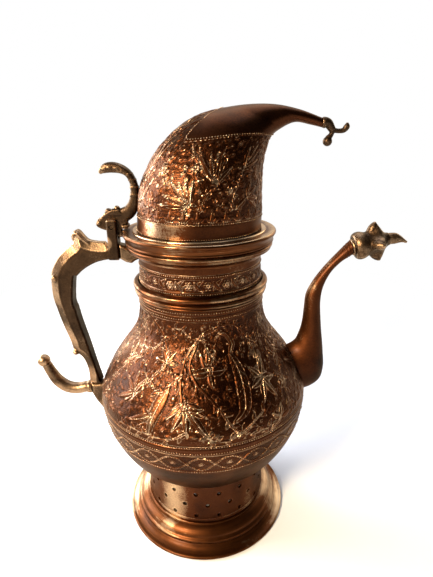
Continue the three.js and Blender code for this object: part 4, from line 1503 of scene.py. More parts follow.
@dataclass
class Belly:
    """The pear-shaped belly, raised in two halves and chased all over above its waist."""

    shop: Workshop
    pearls: Pearls
    columns: int = 640
    reference: float = 56.0
    top: float = 174.5
    neck_radius: float = 39.6
    field_foot: float = 103.2
    field_top: float = 165.4
    band_foot: float = 84.0
    band_top: float = 96.4
    eyes: int = 26
    strand_height: float = 90.2
    strand_swing: float = 4.9

    def s(self, degrees: float, turn: float) -> float:
        """Return the place round the sheet of an angle from the front."""
        return math.radians(degrees - 90 + turn) * self.reference

    def sheet(self, outer: Line) -> Relief:
        """Start the chased work of a wall."""
        return Relief(self.columns, outer[:, 1].copy(), 2 * math.pi * self.reference)

    def shoulder_line(self) -> Line:
        """Return the shoulder's outer section, upwards."""
        sweep = points(
            (0, 1), (0.102, 0.97), (0.231, 0.819), (0.34, 0.658), (0.449, 0.47), (0.558, 0.265), (0.667, 0.111),
            (0.8, 0.028), (1, 0),
        )
        line = spline(sweep, 300, 0.0)
        foot = WAIST + 0.15
        height = foot + (self.top - foot) * line[:, 0]
        radius = self.neck_radius + (BELLY_RADIUS - self.neck_radius) * line[:, 1]
        return respaced(np.column_stack([radius, height]), 0.66)

    def spread(self, relief: Relief, turn: float) -> None:
        """Chase one stretch of the main field, a third of the way round.

        Args:
            relief: The sheet.
            turn: Degrees from the front.
        """

        def at(*rows: Sequence[float]) -> Line:
            """Turn rows of degrees and height into places on the sheet."""
            return points(*[(self.s(r[0], turn), r[1]) for r in rows])

        def twigs(*jobs: tuple) -> None:
            """Chase stems, each from its two half widths and its path."""
            for start, end, *rows in jobs:
                relief.twig(at(*rows), start, end)

        def fan(root: Sequence[float], tips: Sequence[Sequence[float]], half: float) -> None:
            """Chase leaves from one root to several tips."""
            for tip in at(*tips):
                relief.leaf(at(root)[0], tip, half)

        def frond(rows: Sequence[Sequence[float]], thin: float, full: float, lean: float, swell: float) -> None:
            """Chase a broad, veined leaf along a path."""
            path = spline(at(*rows), 40)
            relief.ribbon(path, lambda x: thin + full * np.sin(np.pi * x**lean) ** swell, vein=True)

        def bloom(place: Sequence[float], radius: float, petals: int, twist: float = 0.0) -> None:
            """Chase a flower."""
            relief.flower(at(place)[0], radius, petals, twist)

        twigs(
            (1.1, 0.8, (-51, 166), (-40, 161), (-30, 154), (-24, 142)),
            (1.2, 0.8, (12, 161), (3, 158), (-4, 152), (-10, 145), (-12, 137), (-10, 126), (-8, 118), (-7, 111)),
            (1.1, 0.7, (-2, 152), (-7, 142), (-3, 135), (5, 128), (10, 122)),
            (0.6, 0.5, (-24, 142), (-32, 133), (-38, 124)),
            (0.6, 0.5, (-12, 137), (-17, 133), (-22, 128)),
            (0.8, 0.6, (12, 161), (22, 163), (33, 160), (41, 152), (44, 142), (40, 134)),
            (0.7, 0.6, (41, 152), (50, 148), (58, 152), (64, 160)),
            (0.6, 0.5, (10, 122), (18, 110), (30, 106), (42, 108)),
        )
        fan((-24, 142), ((-34, 143), (-24, 149), (-15, 142), (-26, 138), (-31, 149), (-18, 148)), 1.6)
        frond(((11, 155), (20, 158), (26, 151), (24, 148), (22, 136)), 0.3, 1.9, 1.0, 0.9)
        fan((6, 139), ((0, 148), (6, 151), (12, 150), (17, 139), (-5, 138), (8, 131)), 2.1)
        bloom((6, 140), 2.6, 6)
        frond(((22, 147), (25.5, 139), (25.5, 128), (23, 119), (16, 114)), 0.2, 4.0, 0.8, 0.9)
        fan((-8, 124), ((-15, 121), (-18, 116), (-14, 111), (-6, 108), (-1, 114), (6, 106), (4, 118), (2, 122)), 1.9)
        bloom((-8, 123), 2.5, 6, 0.3)
        frond(((-18, 132), (-22, 124), (-25, 114), (-25, 104)), 0.2, 3.3, 0.7, 1.0)
        relief.leaf(*at((-26, 117), (-39, 111)), 2.3, 1.0)
        bloom((-40, 124), 5.6, 8)
        fan((-40, 124), ((-43, 135), (-46, 117), (-53, 117), (-51, 130), (-34, 133)), 1.7)
        bloom((40, 131), 5.8, 8, 0.2)
        fan((40, 131), ((33, 138), (47, 140), (50, 129), (46, 119), (36, 119), (31, 128)), 2.0)
        fan((44, 108), ((36, 104), (38, 113), (46, 115), (52, 108)), 1.8)
        bloom((55, 124), 4.0, 6)
        fan((62, 136), ((56, 142), (62, 146), (68, 140), (66, 130), (57, 131)), 2.0)
        twigs(
            (0.6, 0.5, (62, 136), (58, 128), (54, 118), (54, 108)),
            (0.5, 0.4, (-58, 160), (-52, 150), (-50, 140)),
            (0.5, 0.4, (-30, 154), (-38, 147), (-48, 146)),
            (0.5, 0.4, (-24, 160), (-16, 161), (-9, 157)),
            (0.5, 0.4, (-7, 111), (-16, 106), (-30, 107), (-44, 106)),
            (0.5, 0.4, (-22, 128), (-33, 131), (-44, 140), (-56, 138)),
            (0.5, 0.4, (3, 158), (5, 150), (13, 143)),
            (0.5, 0.4, (4, 106), (14, 106), (26, 112), (34, 116)),
        )
        fan((64, 160), ((58, 164), (70, 164), (72, 155), (60, 155)), 1.6)

    def shoulder(self) -> None:
        """Raise the upper half and chase its field of leaves and flowers between rows of pearls."""
        outer = self.shoulder_line()
        relief = self.sheet(outer)
        relief.sink(self.field_foot, self.field_top)
        for turn in (0, 120, 240):
            self.spread(relief, turn)
        for tries, size, seed in ((2200, 2.5, SEED), (1600, 1.4, SEED + 1)):
            relief.fill(self.field_foot + 0.4, self.field_top - 0.4, tries, size, seed)
        relief.rule(101.6, 168.4, 172.0)
        shell, traits = chased_wall(outer, outer[::-9] + (-SHEET, 0), relief)
        high = shell.points[:, 2]
        traits[WEAR] -= 0.1 * (1 - ease((high - 103) / 0.8)) + 0.05 * ease((high - 165) / 1.0)
        self.shop.chased("belly_shoulder", shell, traits)
        self.pearls.rings(outer, (102.4, 166.9, 170.4))

    def bowl(self) -> None:
        """Raise the lower half: closed bottom, plain bowl, and an interlaced band under the waist."""
        plain_top = 80.5
        side = bezier(points((43.35, 49.3), (57.36, 56.8), (BELLY_RADIUS, 80.2), (BELLY_RADIUS, 100.85)), 200)
        low = respaced(side[side[:, 1] < plain_top], 1.5)
        high = respaced(side[side[:, 1] >= plain_top], 0.62)
        bottom = points((0.5, 46.5), (12, 46.5), (24, 46.5), (33.6, 46.5), (34.6, 46.7), (39.9, 49.2), (40.8, 49.3))
        outer = np.vstack([bottom, low, high])
        relief = self.sheet(outer)
        relief.sink(self.band_foot, self.band_top)
        relief.interlace(self.band_foot + 0.3, self.band_top - 0.3, self.eyes, 0.5)
        relief.rule(82.4, 97.4, 99.3)
        inner = np.vstack([outer[:6:-6] + (-SHEET, 0), points((40.2, 50.8), (30, 48.2), (12, 48.0), (0.5, 48.0))])
        shell, traits = chased_wall(outer, inner, relief, True)
        # Painted shade: the plain bowl below the band is darker, and rougher
        plain = ease((self.band_foot - shell.points[:, 2]) / 5)
        traits[WEAR] -= 0.05 + 0.17 * plain + 0.06 * ease((shell.points[:, 2] - 97) / 1.0)
        traits[MATT] = 0.12 * plain
        self.shop.chased("belly_bowl", shell, traits)
        self.pearls.rings(high, (98.3, 83.2))
        # Both strands of the interlace are beaded
        turn = turns(24 * self.eyes)
        for sign in (1, -1):
            rise = self.strand_height + sign * self.strand_swing * np.sin(self.eyes / 2 * turn)
            self.pearls.line(round_grid(radius_at(high, rise) + 0.08, turn, rise), 1.6, 0.36)

    def build(self) -> None:
        """Make both halves."""
        self.bowl()
        self.shoulder()


@dataclass
class Neck:
    """The engraved neck tube, the ring over its lower seam and the turned mouth."""

    shop: Workshop
    pearls: Pearls
    columns: int = 520
    reference: float = 38.5
    flowers: int = 22

    def tube(self) -> None:
        """Roll the neck and chase a running scroll between two rows of pearls."""
        outer = respaced(points((39.6, 174.8), (38.76, 180.9), (38.3, 189.0), (38.2, 204.2)), 0.5)
        relief = Relief(self.columns, outer[:, 1].copy(), 2 * math.pi * self.reference)
        relief.sink(182.6, 190.4)
        for i in range(self.flowers):
            s = i * relief.girth / self.flowers
            relief.flower((s, 186.5), 2.6, 6)
            relief.leaf((s + 3.0, 184.0), (s + 8.4, 189.6), 1.1, 0.7)
            relief.leaf((s + 3.2, 189.2), (s + 8.0, 183.4), 1.1, -0.7)
        relief.fill(182.8, 190.2, 1500, 1.3, SEED + 2)
        relief.rule(180.9, 192.6)
        shell, traits = chased_wall(outer, outer[::-8] + (-SHEET, 0), relief)
        self.shop.chased("neck_tube", shell, traits)
        self.pearls.rings(outer, (181.5, 191.7), 1.4, 0.34)

    def ring(self) -> None:
        """Turn the ring: a half-round over a fine bead."""
        section = joined(
            points((39.9, 172.1), (40.9, 172.2)),
            arc((40.9, 173.0), 0.6, -70, 70, 5),
            arc((41.2, 174.9), 0.95, -75, 75, 9),
            points((41.0, 176.3)),
            arc((40.9, 178.7), 1.8, -75, 85, 15),
            points((39.9, 180.7)),
        )
        piece = self.shop.raw("neck_ring_turned", [turned(section, FINE_ROUND)])
        self.shop.finish(piece, Metal.POLISHED, POT, ["neck_ring"], sharp=50, gain=0.2)

    def mouth(self) -> None:
        """Turn the mouth: a hollow sweep up to a rounded lip."""
        section = joined(
            points((38.5, 196.6), (39.1, 196.6)),
            bezier(points((39.3, 196.9), (39.8, 199.0), (42.2, 199.4), (43.6, 200.5)), 12),
            arc((43.9, 201.0), 0.45, -80, 40, 5),
            points((44.3, 201.6)),
            arc((44.1, 203.0), 1.1, -70, 75, 11),
            points((44.2, 204.4), (39.0, 204.5), (38.5, 204.1)),
        )
        piece = self.shop.raw("mouth_rim_turned", [turned(section, FINE_ROUND)])
        self.shop.finish(piece, Metal.POLISHED, POT, ["mouth_rim"], sharp=50, gain=0.2)

    def build(self) -> None:
        """Make the tube, the ring and the mouth."""
        self.tube()
        self.ring()
        self.mouth()


@dataclass
class LidBase:
    """The moulded flange of the lid and the bezel that seats it in the neck."""

    shop: Workshop

    def build(self) -> None:
        """Turn both."""
        flange = joined(
            points((36.0, 204.9), (44.9, 204.9)),
            arc((45.1, 205.5), 0.6, -80, 30, 5),
            points((45.4, 206.3)),
            bezier(points((45.5, 206.6), (45.6, 207.6), (46.0, 208.2), (46.3, 208.6)), 7),
            arc((45.8, 210.4), 1.35, -50, 80, 11),
            points((45.4, 211.75), (41.8, 211.3), (41.2, 211.35)),
            arc((40.2, 211.4), 0.75, 0, 120, 7),
            points((34.95, 212.05), (34.9, 209.85), (36.0, 209.85)),
        )
        shell = turned(flange, FINE_ROUND)
        # Painted highlight: its upper face is lighter than the moulding below
        wear = {WEAR: 0.42 + 0.36 * ease((shell.points[:, 2] - 211.25) / 0.4)}
        piece = self.shop.raw("lid_flange_turned", [shell])
        self.shop.finish(piece, Metal.POLISHED, LID, ["lid_flange"], sharp=50, traits=wear, gain=0.18)
        bezel = points(
            (34.25, 200.9), (34.6, 200.5), (35.4, 200.5), (35.7, 200.9), (35.65, 209.3), (35.4, 209.55), (34.5, 209.55),
            (34.2, 209.3),
        )
        piece = self.shop.raw("lid_bezel_rolled", [turned(bezel, 160)])
        self.shop.finish(piece, Metal.CHASED, LID, ["lid_bezel"], sharp=50)


@dataclass
class Cowl:
    """The tall horn-shaped lid, chased all over but for its bare horn."""

    shop: Workshop
    pearls: Pearls
    radius: float = 37.9
    reach: float = 71.5
    height: float = 69.0
    hollow: float = 0.72
    tip_share: float = 1.857
    columns: int = 360
    low_sprays: int = 30

    def stations(self) -> Line:
        """Return back and front edges, as shares of reach and height, and width."""
        return points(
            (-1, 0, 1, 0, 1),
            (-0.977, 0.143, 1.011, 0.13, 0.99),
            (-0.887, 0.404, 1.006, 0.382, 0.94),
            (-0.541, 0.706, 1.036, 0.598, 0.76),
            (-0.04, 0.91, 1.13, 0.75, 0.522),
            (0.565, 0.988, 1.266, 0.811, 0.306),
            (1.13, 0.998, 1.462, 0.857, 0.164),
            (1.512, 0.957, 1.691, 0.836, 0.111),
            (self.tip_share, 0.889, self.tip_share, 0.814, 0.071),
        )

    def rings(self, shares: np.ndarray, inset: float) -> np.ndarray:
        """Return a grid of rings at shares of the horn, set in from its skin.

        Args:
            shares: Where the rings lie, from foot to tip.
            inset: How far they are set in.

        Returns:
            The grid.
        """
        knots = self.stations()

        def across(share: np.ndarray) -> np.ndarray:
            """Turn shares of the reach into distances from the axis."""
            past = np.maximum(share - 1, 0) / (self.tip_share - 1)
            return self.radius * np.minimum(share, 1) + (self.reach - self.radius) * past

        sides = []
        for x, z in ((0, 1), (2, 3)):
            line = np.column_stack([across(knots[:, x]), COWL_FOOT + self.height * knots[:, z]])
            sides.append(spline(line, shares))
        back, front = sides
        half_width = spline(np.column_stack([self.radius * knots[:, 4], np.arange(len(knots))]), shares)[:, 0]
        half = (front - back) / 2
        size = np.maximum(np.linalg.norm(half, axis=1), 1e-6)
        half *= (np.maximum(size - inset, 0.2) / size)[:, None]
        width = np.maximum(half_width - inset, 0.2)
        return oval_rings((front + back) / 2, half, width, self.columns)

    def edge(self, theta: np.ndarray) -> np.ndarray:
        """Return the share up the horn at which the chased field ends, by degrees from the front.

        Args:
            theta: Degrees from the front, 0 to 180.

        Returns:
            One share for each angle.
        """
        rim = points(
            (0, 0.53), (20, 0.522), (50, 0.504), (70, 0.48), (86, 0.458), (105, 0.431), (125, 0.412), (129, 0.425),
            (133, 0.472), (138, 0.518), (150, 0.56), (164, 0.588), (180, 0.6),
        )
        return np.interp(theta, rim[:, 0], rim[:, 1])

    def build(self) -> None:
        """Raise the horn, chase it and border the field with pearls."""
        fine = np.linspace(0, 1, 500)
        side = self.rings(fine, 0.0)[:, [self.columns // 4, 0, self.columns // 2]].mean(1)
        run = arc_length(side)
        run = 0.75 * run + 0.25 * run[-1] * fine
        marks = np.linspace(0, run[-1], 190)
        shares = np.interp(marks, run, fine)
        outer = self.rings(shares, 0.0)
        side_up = arc_length(outer[:, self.columns // 4])
        relief = Relief(self.columns, side_up, 2 * math.pi * self.radius)

        def up(share: float) -> float:
            """Return the height along the skin of a share of the horn."""
            return float(np.interp(share, shares, side_up))

        def at(*rows: Sequence[float]) -> list[Line]:
            """Turn rows of share and degrees into places on the left and on the right cheek."""
            return [points(*[(m * math.radians(r[1]) * self.radius, up(r[0])) for r in rows]) for m in (-1, 1)]

        theta = np.degrees(relief.around / self.radius)
        theta = np.minimum(theta, 360 - theta)
        limit = np.interp(self.edge(theta), shares, side_up)
        depth = np.minimum(limit[None, :] - 2.6 - side_up[:, None], side_up[:, None] - up(0.118) - 0.6)
        relief.sink_where(depth)
        self.sprays(relief, at)
        guard = 1 - ease(depth / 0.5)
        for foot, tries, size, seed in ((0.125, 1700, 2.2, SEED + 3), (0.12, 1200, 1.3, SEED + 4)):
            relief.fill(up(foot), up(0.6), tries, size, seed, guard)
        relief.rule(up(0.108))
        normal = grid_normals(outer)
        grid = outer + relief.height()[..., None] * normal
        inner = self.rings(np.linspace(self.hollow, 0, 40), SHEET)
        shell = grid_shell(np.vstack([inner, grid]), False)
        spare = inner.shape[0] * self.columns
        bare = ease((side_up[:, None] - limit[None, :]) / 2.0)
        # Painted highlight on the plain band above the flange, most to the left of the front
        band = 1 - ease((side_up[:, None] - up(0.104)) / 0.8)
        wear_and_band_highlight = relief.wear() - 0.1 * bare + band * (0.24 * bump(bearing(outer), -36, 28) - 0.02)
        fields = ((WEAR, 0.4, wear_and_band_highlight), (GROUND, 0, 1 - relief.motif), (LINE, relief.FAR, relief.gap))
        traits = {
            name: np.concatenate([np.full(spare, plain), values.ravel(), [plain, plain]])
            for name, plain, values in fields
        }
        self.shop.chased("lid_cowl", shell, traits, LID)
        for share, spacing in ((0.004, 1.3), (0.113, 1.5)):
            self.pearls.line(self.rings(np.array([share]), -self.pearls.proud)[0, ::3], spacing, 0.32)
        self.pearls.line(self.border(outer, normal, side_up, limit - 1.2)[::3], 1.5, 0.36)

    def border(self, outer: np.ndarray, normal: np.ndarray, side_up: np.ndarray, limit: np.ndarray) -> Line:
        """Return the line on the skin at a height that changes round it.

        Args:
            outer: The skin's grid.
            normal: Its outward normals.
            side_up: The height of each ring along the skin.
            limit: The wanted height in each column.

        Returns:
            One point a column.
        """
        place = np.interp(limit, side_up, np.arange(len(side_up)))
        low = np.clip(np.floor(place).astype(int), 0, len(side_up) - 2)
        share = (place - low)[:, None]
        column = np.arange(self.columns)
        skin = outer + self.pearls.proud * normal
        return skin[low, column] * (1 - share) + skin[low + 1, column] * share

    def sprays(self, relief: Relief, at: Callable) -> None:
        """Chase the sprays of both cheeks, the back and the low band.

        Args:
            relief: The sheet.
            at: Turns shares and degrees into places on both cheeks.
        """
        cheek = ((0.392, 115), (0.392, 107), (0.371, 91), (0.38, 85), (0.4, 80), (0.371, 72), (0.329, 65))
        jobs = [
            ((0.263, 76), cheek, 1.7),
            ((0.192, 97), ((0.267, 116), (0.269, 110), (0.275, 104), (0.279, 97), (0.188, 127), (0.225, 124)), 1.7),
            ((0.321, 52), ((0.433, 41), (0.4, 36), (0.36, 33), (0.42, 52), (0.31, 38)), 1.8),
            ((0.212, 45), ((0.163, 29), (0.2, 27), (0.25, 30), (0.28, 40), (0.17, 58)), 1.8),
            ((0.3, 150), ((0.4, 140), (0.42, 150), (0.4, 162), (0.33, 168), (0.27, 166)), 1.9),
            ((0.43, 160), ((0.5, 150), (0.54, 160), (0.52, 172), (0.44, 174)), 1.7),
            ((0.2, 150), ((0.26, 140), (0.27, 152), (0.24, 164), (0.18, 166), (0.17, 138)), 1.8),
            ((0.38, 12), ((0.47, 4), (0.48, 14), (0.45, 24), (0.34, 24), (0.33, 4)), 1.9),
            ((0.21, 10), ((0.28, 2), (0.29, 12), (0.27, 20), (0.18, 22), (0.17, 3)), 1.9),
        ]
        stems = [
            (((0.17, 88), (0.22, 84), (0.263, 76)), 0.6),
            (((0.17, 104), (0.18, 100), (0.192, 97)), 0.6),
            (((0.17, 62), (0.24, 58), (0.321, 52)), 0.6),
            (((0.17, 160), (0.25, 156), (0.3, 150), (0.37, 152), (0.43, 160)), 0.6),
            (((0.17, 14), (0.25, 16), (0.33, 15), (0.38, 12)), 0.6),
        ]
        for rows, half in stems:
            for path in at(*rows):
                relief.twig(path, half, half * 0.8, 3.8)
        for root, tips, half in jobs:
            for roots, ends in zip(at(root), at(*tips)):
                for tip in ends:
                    relief.leaf(roots[0], tip, half)
        flowers = ((0.312, 98, 3.4), (0.3, 130, 4.2), (0.35, 106, 2.6), (0.24, 63, 3.0), (0.42, 66, 2.4))
        for share, degrees, size in flowers:
            for path in at((share, degrees)):
                relief.flower(path[0], size, 6)
        foot, top = at((0.119, 0), (0.163, 0))[0][:, 1]
        for i in range(self.low_sprays):
            s = (i + 0.5) * relief.girth / self.low_sprays
            relief.spray((s, foot + 0.4), 90, 110, 3, top - foot + 1.0, 1.1)


@dataclass
class Handle:
    """The cast arm with its ears, the lugs that tie it to the pot, its tail and the hinge pin."""

    shop: Workshop
    width: float = 10.0
    slot: float = 4.4
    slot_foot: float = 205.2
    pin_radius: float = 1.3
    pin_length: float = 8.4
    tail_root: tuple[float, float] = (-79.7, 98.4)
    tail_ball: tuple[float, float] = (-110.5, 119.8)
    arm_top: float = 198.0
    edge: float = 1.2
    facet: float = 5.4
    facet_fall: float = 3.1

    def place(self, rows: Line) -> Line:
        """Turn places by distance out from the chord and share up it into x and z."""
        x = -BELLY_RADIUS + (HINGE[0] + BELLY_RADIUS) * rows[:, 1] - rows[:, 0]
        return np.column_stack([x, WAIST + (self.arm_top - WAIST) * rows[:, 1]])

    def arm(self) -> None:
        """Cast the arm with rounded edges, add the spur leaf, the knob and the ears, and cut the hinge slot."""
        inner = points(
            (-0.9, 0.953), (5.7, 0.944), (11.5, 0.926), (18.4, 0.882), (22.2, 0.84), (24.7, 0.787), (24.6, 0.712),
            (22.0, 0.595), (18.6, 0.488), (14.1, 0.365), (8.9, 0.215), (3.8, 0.068), (2.0, 0.025),
        )
        outer = points(
            (10.6, 0.025), (11.7, 0.1), (13.2, 0.155), (15.6, 0.21), (18.8, 0.247), (22.3, 0.272), (23.6, 0.3),
            (25.3, 0.355), (30.2, 0.47), (34.9, 0.596), (38.4, 0.718), (39.5, 0.836), (37.3, 0.92), (32.2, 0.998),
            (27.8, 1.04), (26.3, 1.06), (25.8, 1.12), (24.1, 1.14), (22.4, 1.13), (19.7, 1.1), (17.2, 1.076),
            (11.7, 1.062), (6.7, 1.058),
        )
        back, front = self.place(spline(outer, 140)), self.place(spline(inner, 80))
        to_back = np.vstack([back, back[::-1]])
        to_front = np.vstack([front, front[::-1]])

        def thickness(depth: np.ndarray, place: Line) -> np.ndarray:
            """Thin the arm towards its back, round its edges and cut a groove beside the facet.

            Args:
                depth: Distance inside the outline.
                place: The points, as x and z.

            Returns:
                Half the thickness.
            """
            gap = edge_distance(place, to_back)
            facet = self.facet_fall * np.clip(1 - gap / self.facet, 0, 1)
            rounded = self.edge - np.sqrt(np.maximum(self.edge**2 - np.maximum(self.edge - depth, 0) ** 2, 0))
            groove = 0.25 * bump(gap - self.facet, 0.9, 0.45)
            return self.width / 2 - np.maximum(facet, rounded) - groove

        shells = [casting(np.vstack([front, back]), thickness, 0.7)]
        shells.append(block((-56.5, -5.0, 192.6), (-50.3, 5.0, 218.0), 0.7))
        spur = self.place(points((16.0, 1.05), (20.5, 1.085), (24.0, 1.12), (26.2, 1.115), (26.6, 1.075)))
        size = points((1.1, 3.4), (1.4, 3.9), (1.6, 4.0), (1.3, 3.4), (0.8, 2.0))
        shells.append(limb(np.hstack([spur, size]), 24, 20))
        knob = self.place(points((36.6, 0.825)))[0]
        shells += [ball(*knob, 2.3, side) for side in (-3.0, 3.0)]
        roll = self.place(points((21.2, 0.275)))[0]
        shells += [rod(*roll, 2.3, 3.6), *(ball(*roll, 1.5, side) for side in (-3.6, 3.6))]
        obj = self.shop.fused("handle_arm_cast", shells, 0.5, 2)
        slot = block((-62, -self.slot / 2, self.slot_foot), (-44, self.slot / 2, 225))
        self.shop.carved(obj, slot, rod(*HINGE, PIN_BORE, 12))
        skin = mesh_points(obj.data) - (self.shop.axis_x, 0, 0)
        flat = skin[:, [0, 2]]
        # The facet along the back is lightened unevenly, partly as wear and partly as a painted highlight, and the
        # inner edge stays dark
        facet_wear_and_highlight = 0.22 + 0.14 * np.sin(skin[:, 2] / 5.2)
        wear = 0.38 + facet_wear_and_highlight * ease((self.facet + 0.6 - edge_distance(flat, to_back)) / 1.2)
        wear -= 0.14 * (edge_distance(flat, to_front) < 0.9) * (skin[:, 2] < 205)
        # Painted highlight on the tops of the ears
        wear += 0.3 * ease((skin[:, 2] - 217.2) / 0.4)
        self.shop.finish(obj, Metal.CAST, POT, ["handle"], sharp=50, traits={WEAR: wear}, gain=0.4, rounds=2)

    def lugs(self) -> None:
        """Cast the faceted bracket to the neck and the foot that lies on the belly."""
        bracket = points(
            (-50.4, 193.3), (-46.6, 190.9), (-43, 190.1), (-41.0, 191.6), (-37.9, 193.0), (-37.9, 196.5), (-41, 196.7),
            (-43.4, 199.2), (-46.8, 201.6), (-50.4, 202.6),
        )

        def facets(depth: np.ndarray, place: Line) -> np.ndarray:
            """Return the bracket's half thickness: bevelled, and thinner towards the neck."""
            return 2.9 + 1.3 * np.minimum(depth / 1.3, 1) - 0.4 * ease((place[:, 0] + 43) / 4)

        self.shop.cast("neck_bracket", [casting(bracket, facets, 0.45)], 0.35, 1, sharp=35)
        foot = points(
            (-79.6, 103.3), (-79.4, 94.5), (-77.2, 89.1), (-73.2, 81.1), (-68.2, 76.4), (-66.4, 77.4), (-67.6, 84.0),
            (-68.9, 92.0), (-69.2, 103.3),
        )

        def crown(depth: np.ndarray, place: Line) -> np.ndarray:
            """Return the foot's half thickness: rounded, and thinner towards its tip."""
            taper = 2.4 + 2.1 * ease((place[:, 1] - 76) / 14)
            return taper * np.sqrt(np.clip(1 - (1 - np.minimum(depth / 2.6, 1)) ** 2, 0.12, 1))

        self.shop.cast("handle_lug", [casting(foot, crown, 0.5)], 0.4, 2, sharp=45)

    def tail(self) -> None:
        """Cast the round tail, with a collar and a ball."""
        stations = points(
            (0, 0, 3.9, 3.9), (-3.4, 0, 3.9, 3.9), (-9.4, -1.2, 4, 4), (-16.8, 0.1, 4.2, 4.2), (-23, 5.2, 4.1, 4.1),
            (-27, 12.6, 3.6, 3.6), (-29.3, 18.6, 3.3, 3.3),
        )
        collar = points((0.8, 0, 4.2, 4.2), (-1.2, 0, 4.6, 4.6), (-2.8, 0, 4.1, 4.1))
        root = (*self.tail_root, 0, 0)
        shells = [limb(stations + root, 60, 32), limb(collar + root, 12, 32), ball(*self.tail_ball, 4.3)]
        self.shop.cast("handle_tail", shells, 0.4, 4, wear=0.62, rounds=2)

    def build(self) -> None:
        """Make the arm, the lugs, the tail and the pin."""
        self.arm()
        self.lugs()
        self.tail()
        pin = self.shop.raw("hinge_pin_turned", [rod(*HINGE, self.pin_radius, self.pin_length / 2)])
        self.shop.finish(self.shop.welded(pin), Metal.CAST, POT, ["hinge_pin"], sharp=45, gain=0.4)


@dataclass
class Spout:
    """The flattened root, the swan neck, the cast bud and the beak."""

    shop: Workshop
    sides: int = 160
    bud_length: float = 23.0
    beak_length: float = 11.4
    bud_foot: tuple[float, float] = (95.15, 197.45)
    petals: int = 4
    line: tuple[float, float] = (0.9733, 0.2296)

    def tube(self) -> None:
        """Fold and braze the spout: a flat root that narrows to a round neck, with ridged edges."""
        rows = points(
            (-14, 27, -9, -8, 10.9), (-6.6, 32, 4.5, -4.4, 10.9), (-4.2, 37.5, 12, 1.6, 10.2),
            (-2.8, 43, 14.2, 11, 8.8), (-2, 50, 13, 25, 7.4), (-1.6, 57, 10.4, 44, 6.2), (-0.8, 66, 8.9, 61, 5),
            (3.2, 74.8, 9.9, 70.4, 4), (9.7, 84.2, 13.9, 80.2, 3.6), (17.4, 93.2, 19.8, 87.2, 3.9),
            (24.5, 100.9, 26.6, 92, 4.6),
        )
        count = 200
        upper, lower = spline(rows[:, :2], count), spline(rows[:, 2:4], count)
        width = spline(np.column_stack([rows[:, 4], np.arange(len(rows))]), count)[:, 0]
        share = np.linspace(0, 1, count)[:, None]
        keel = 1.72 + 0.28 * ease((share - 0.25) / 0.45)
        grid = oval_rings((upper + lower) / 2, (upper - lower) / 2, width, self.sides, keel)
        grid += (BELLY_RADIUS, 0, WAIST)
        turn = turns(self.sides)
        seam = bump(turn[None, :], math.pi, 0.12) * ease(share / 0.1)
        rings = sum(bump(share, at, 0.004) for at in (0.955, 0.975))
        grid = grid + (0.12 * seam + 0.2 * rings)[..., None] * grid_normals(grid)
        obj = self.shop.raw("spout_tube_folded", [grid_shell(grid, False)])
        # Painted highlight along its upper edge, and painted shade below and round the root
        wear = 0.38 + 0.1 * np.cos(turn) * ease(share / 0.3)
        wear -= 0.1 * (1 - np.cos(turn)) * (1 - ease((share - 0.2) / 0.4))
        traits = {WEAR: np.append(wear, [0.3, 0.4]), MATT: np.full(wear.size + 2, 0.18)}
        self.shop.finish(obj, Metal.CHASED, POT, ["spout_tube"], sharp=60, traits=traits, gain=0.2, rounds=2)

    def lay(self) -> Matrix:
        """Return the matrix that lays the bud's own axis along the spout's end."""
        x, z = self.line
        return Matrix(((-z, 0, x, self.bud_foot[0]), (0, 1, 0, 0), (x, 0, z, self.bud_foot[1]), (0, 0, 0, 1)))

    def bud(self) -> None:
        """Cast the bud: a ball on a collar, and a crown of pointed petals round the beak's root."""
        rows = points(
            (4.9, 0.3, 0), (5.3, 0.9, 0), (5.4, 1.5, 0), (7.4, 2.0, 0), (8.3, 3.1, 0), (8.8, 4.7, 0), (8.7, 6.6, 0),
            (8.0, 8.6, 0), (7.4, 10.0, 0.04), (7.1, 12.0, 0.2), (7.2, 14.0, 0.42), (7.3, 16.2, 0.6),
            (7.2, 17.6, 0.58), (6.4, 19.2, 0.34), (4.9, 21.2, 0.05), (4.3, 22.4, 0), (3.8, 24.2, 0),
        )
        radius, height, lobe = (column[:, None] for column in spline(rows, 90).T)
        turn = turns(96)
        radius = radius * (1 + lobe * ((1 + np.cos(self.petals * turn)) / 2) ** 1.4)
        shells = [grid_shell(round_grid(radius, turn, height), False)]
        petal = points(
            (6.0, 13.4, 3.4, 3.2), (8.8, 14.9, 3.1, 3.0), (10.7, 15.9, 2.3, 2.3), (11.9, 16.5, 1.4, 1.5),
            (12.7, 16.9, 0.5, 0.6),
        )
        petal_copies = self.shop.centred("petal", [limb(petal, 18, 20)])
        tree, known = ring_tree("petals", self.shop.metals[Metal.CAST])
        grown(petal_copies, tree, known, {"Count": self.petals, "Rows": 1, "Pitch": 0.0, "Turn": 0.0})
        shells.append(taken(petal_copies, 0.0))
        laid = [shell.moved(self.lay()).outward() for shell in shells]
        self.shop.cast("spout_bud", laid, 0.4, 3, gain=0.5, rounds=3)

    def beak(self) -> None:
        """Cast the beak and bore it out through its underside."""
        x, z = self.line
        start = np.array(self.bud_foot) + (self.bud_length + 0.3) * np.array([x, z])

        def laid(*rows: Sequence[float]) -> Line:
            """Lay rows of share along the beak, lift, half depth and half width on the spout's line."""
            places = ((self.beak_length * share, lift, deep, wide) for share, lift, deep, wide in rows)
            return points(*[(start[0] + a * x - b * z, start[1] + a * z + b * x, c, d) for a, b, c, d in places])

        skin = laid(
            (0, 0, 3.3, 3), (0.15, -0.2, 3.6, 3.2), (0.38, -0.8, 3.5, 3.2), (0.6, -2, 2.5, 2.7), (0.8, -3.5, 1.5, 1.8),
            (1, -5, 0.6, 0.8),
        )
        bore = laid((0.2, -0.8, 1.6, 1.6), (0.45, -2.4, 2.0, 2.0), (0.62, -4.0, 1.9, 1.9), (0.8, -7.0, 1.9, 1.9))
        self.shop.cast("spout_beak", [limb(skin, 30, 28, 2.2)], 0.3, 1, limb(bore, 16, 20), gain=0.45)

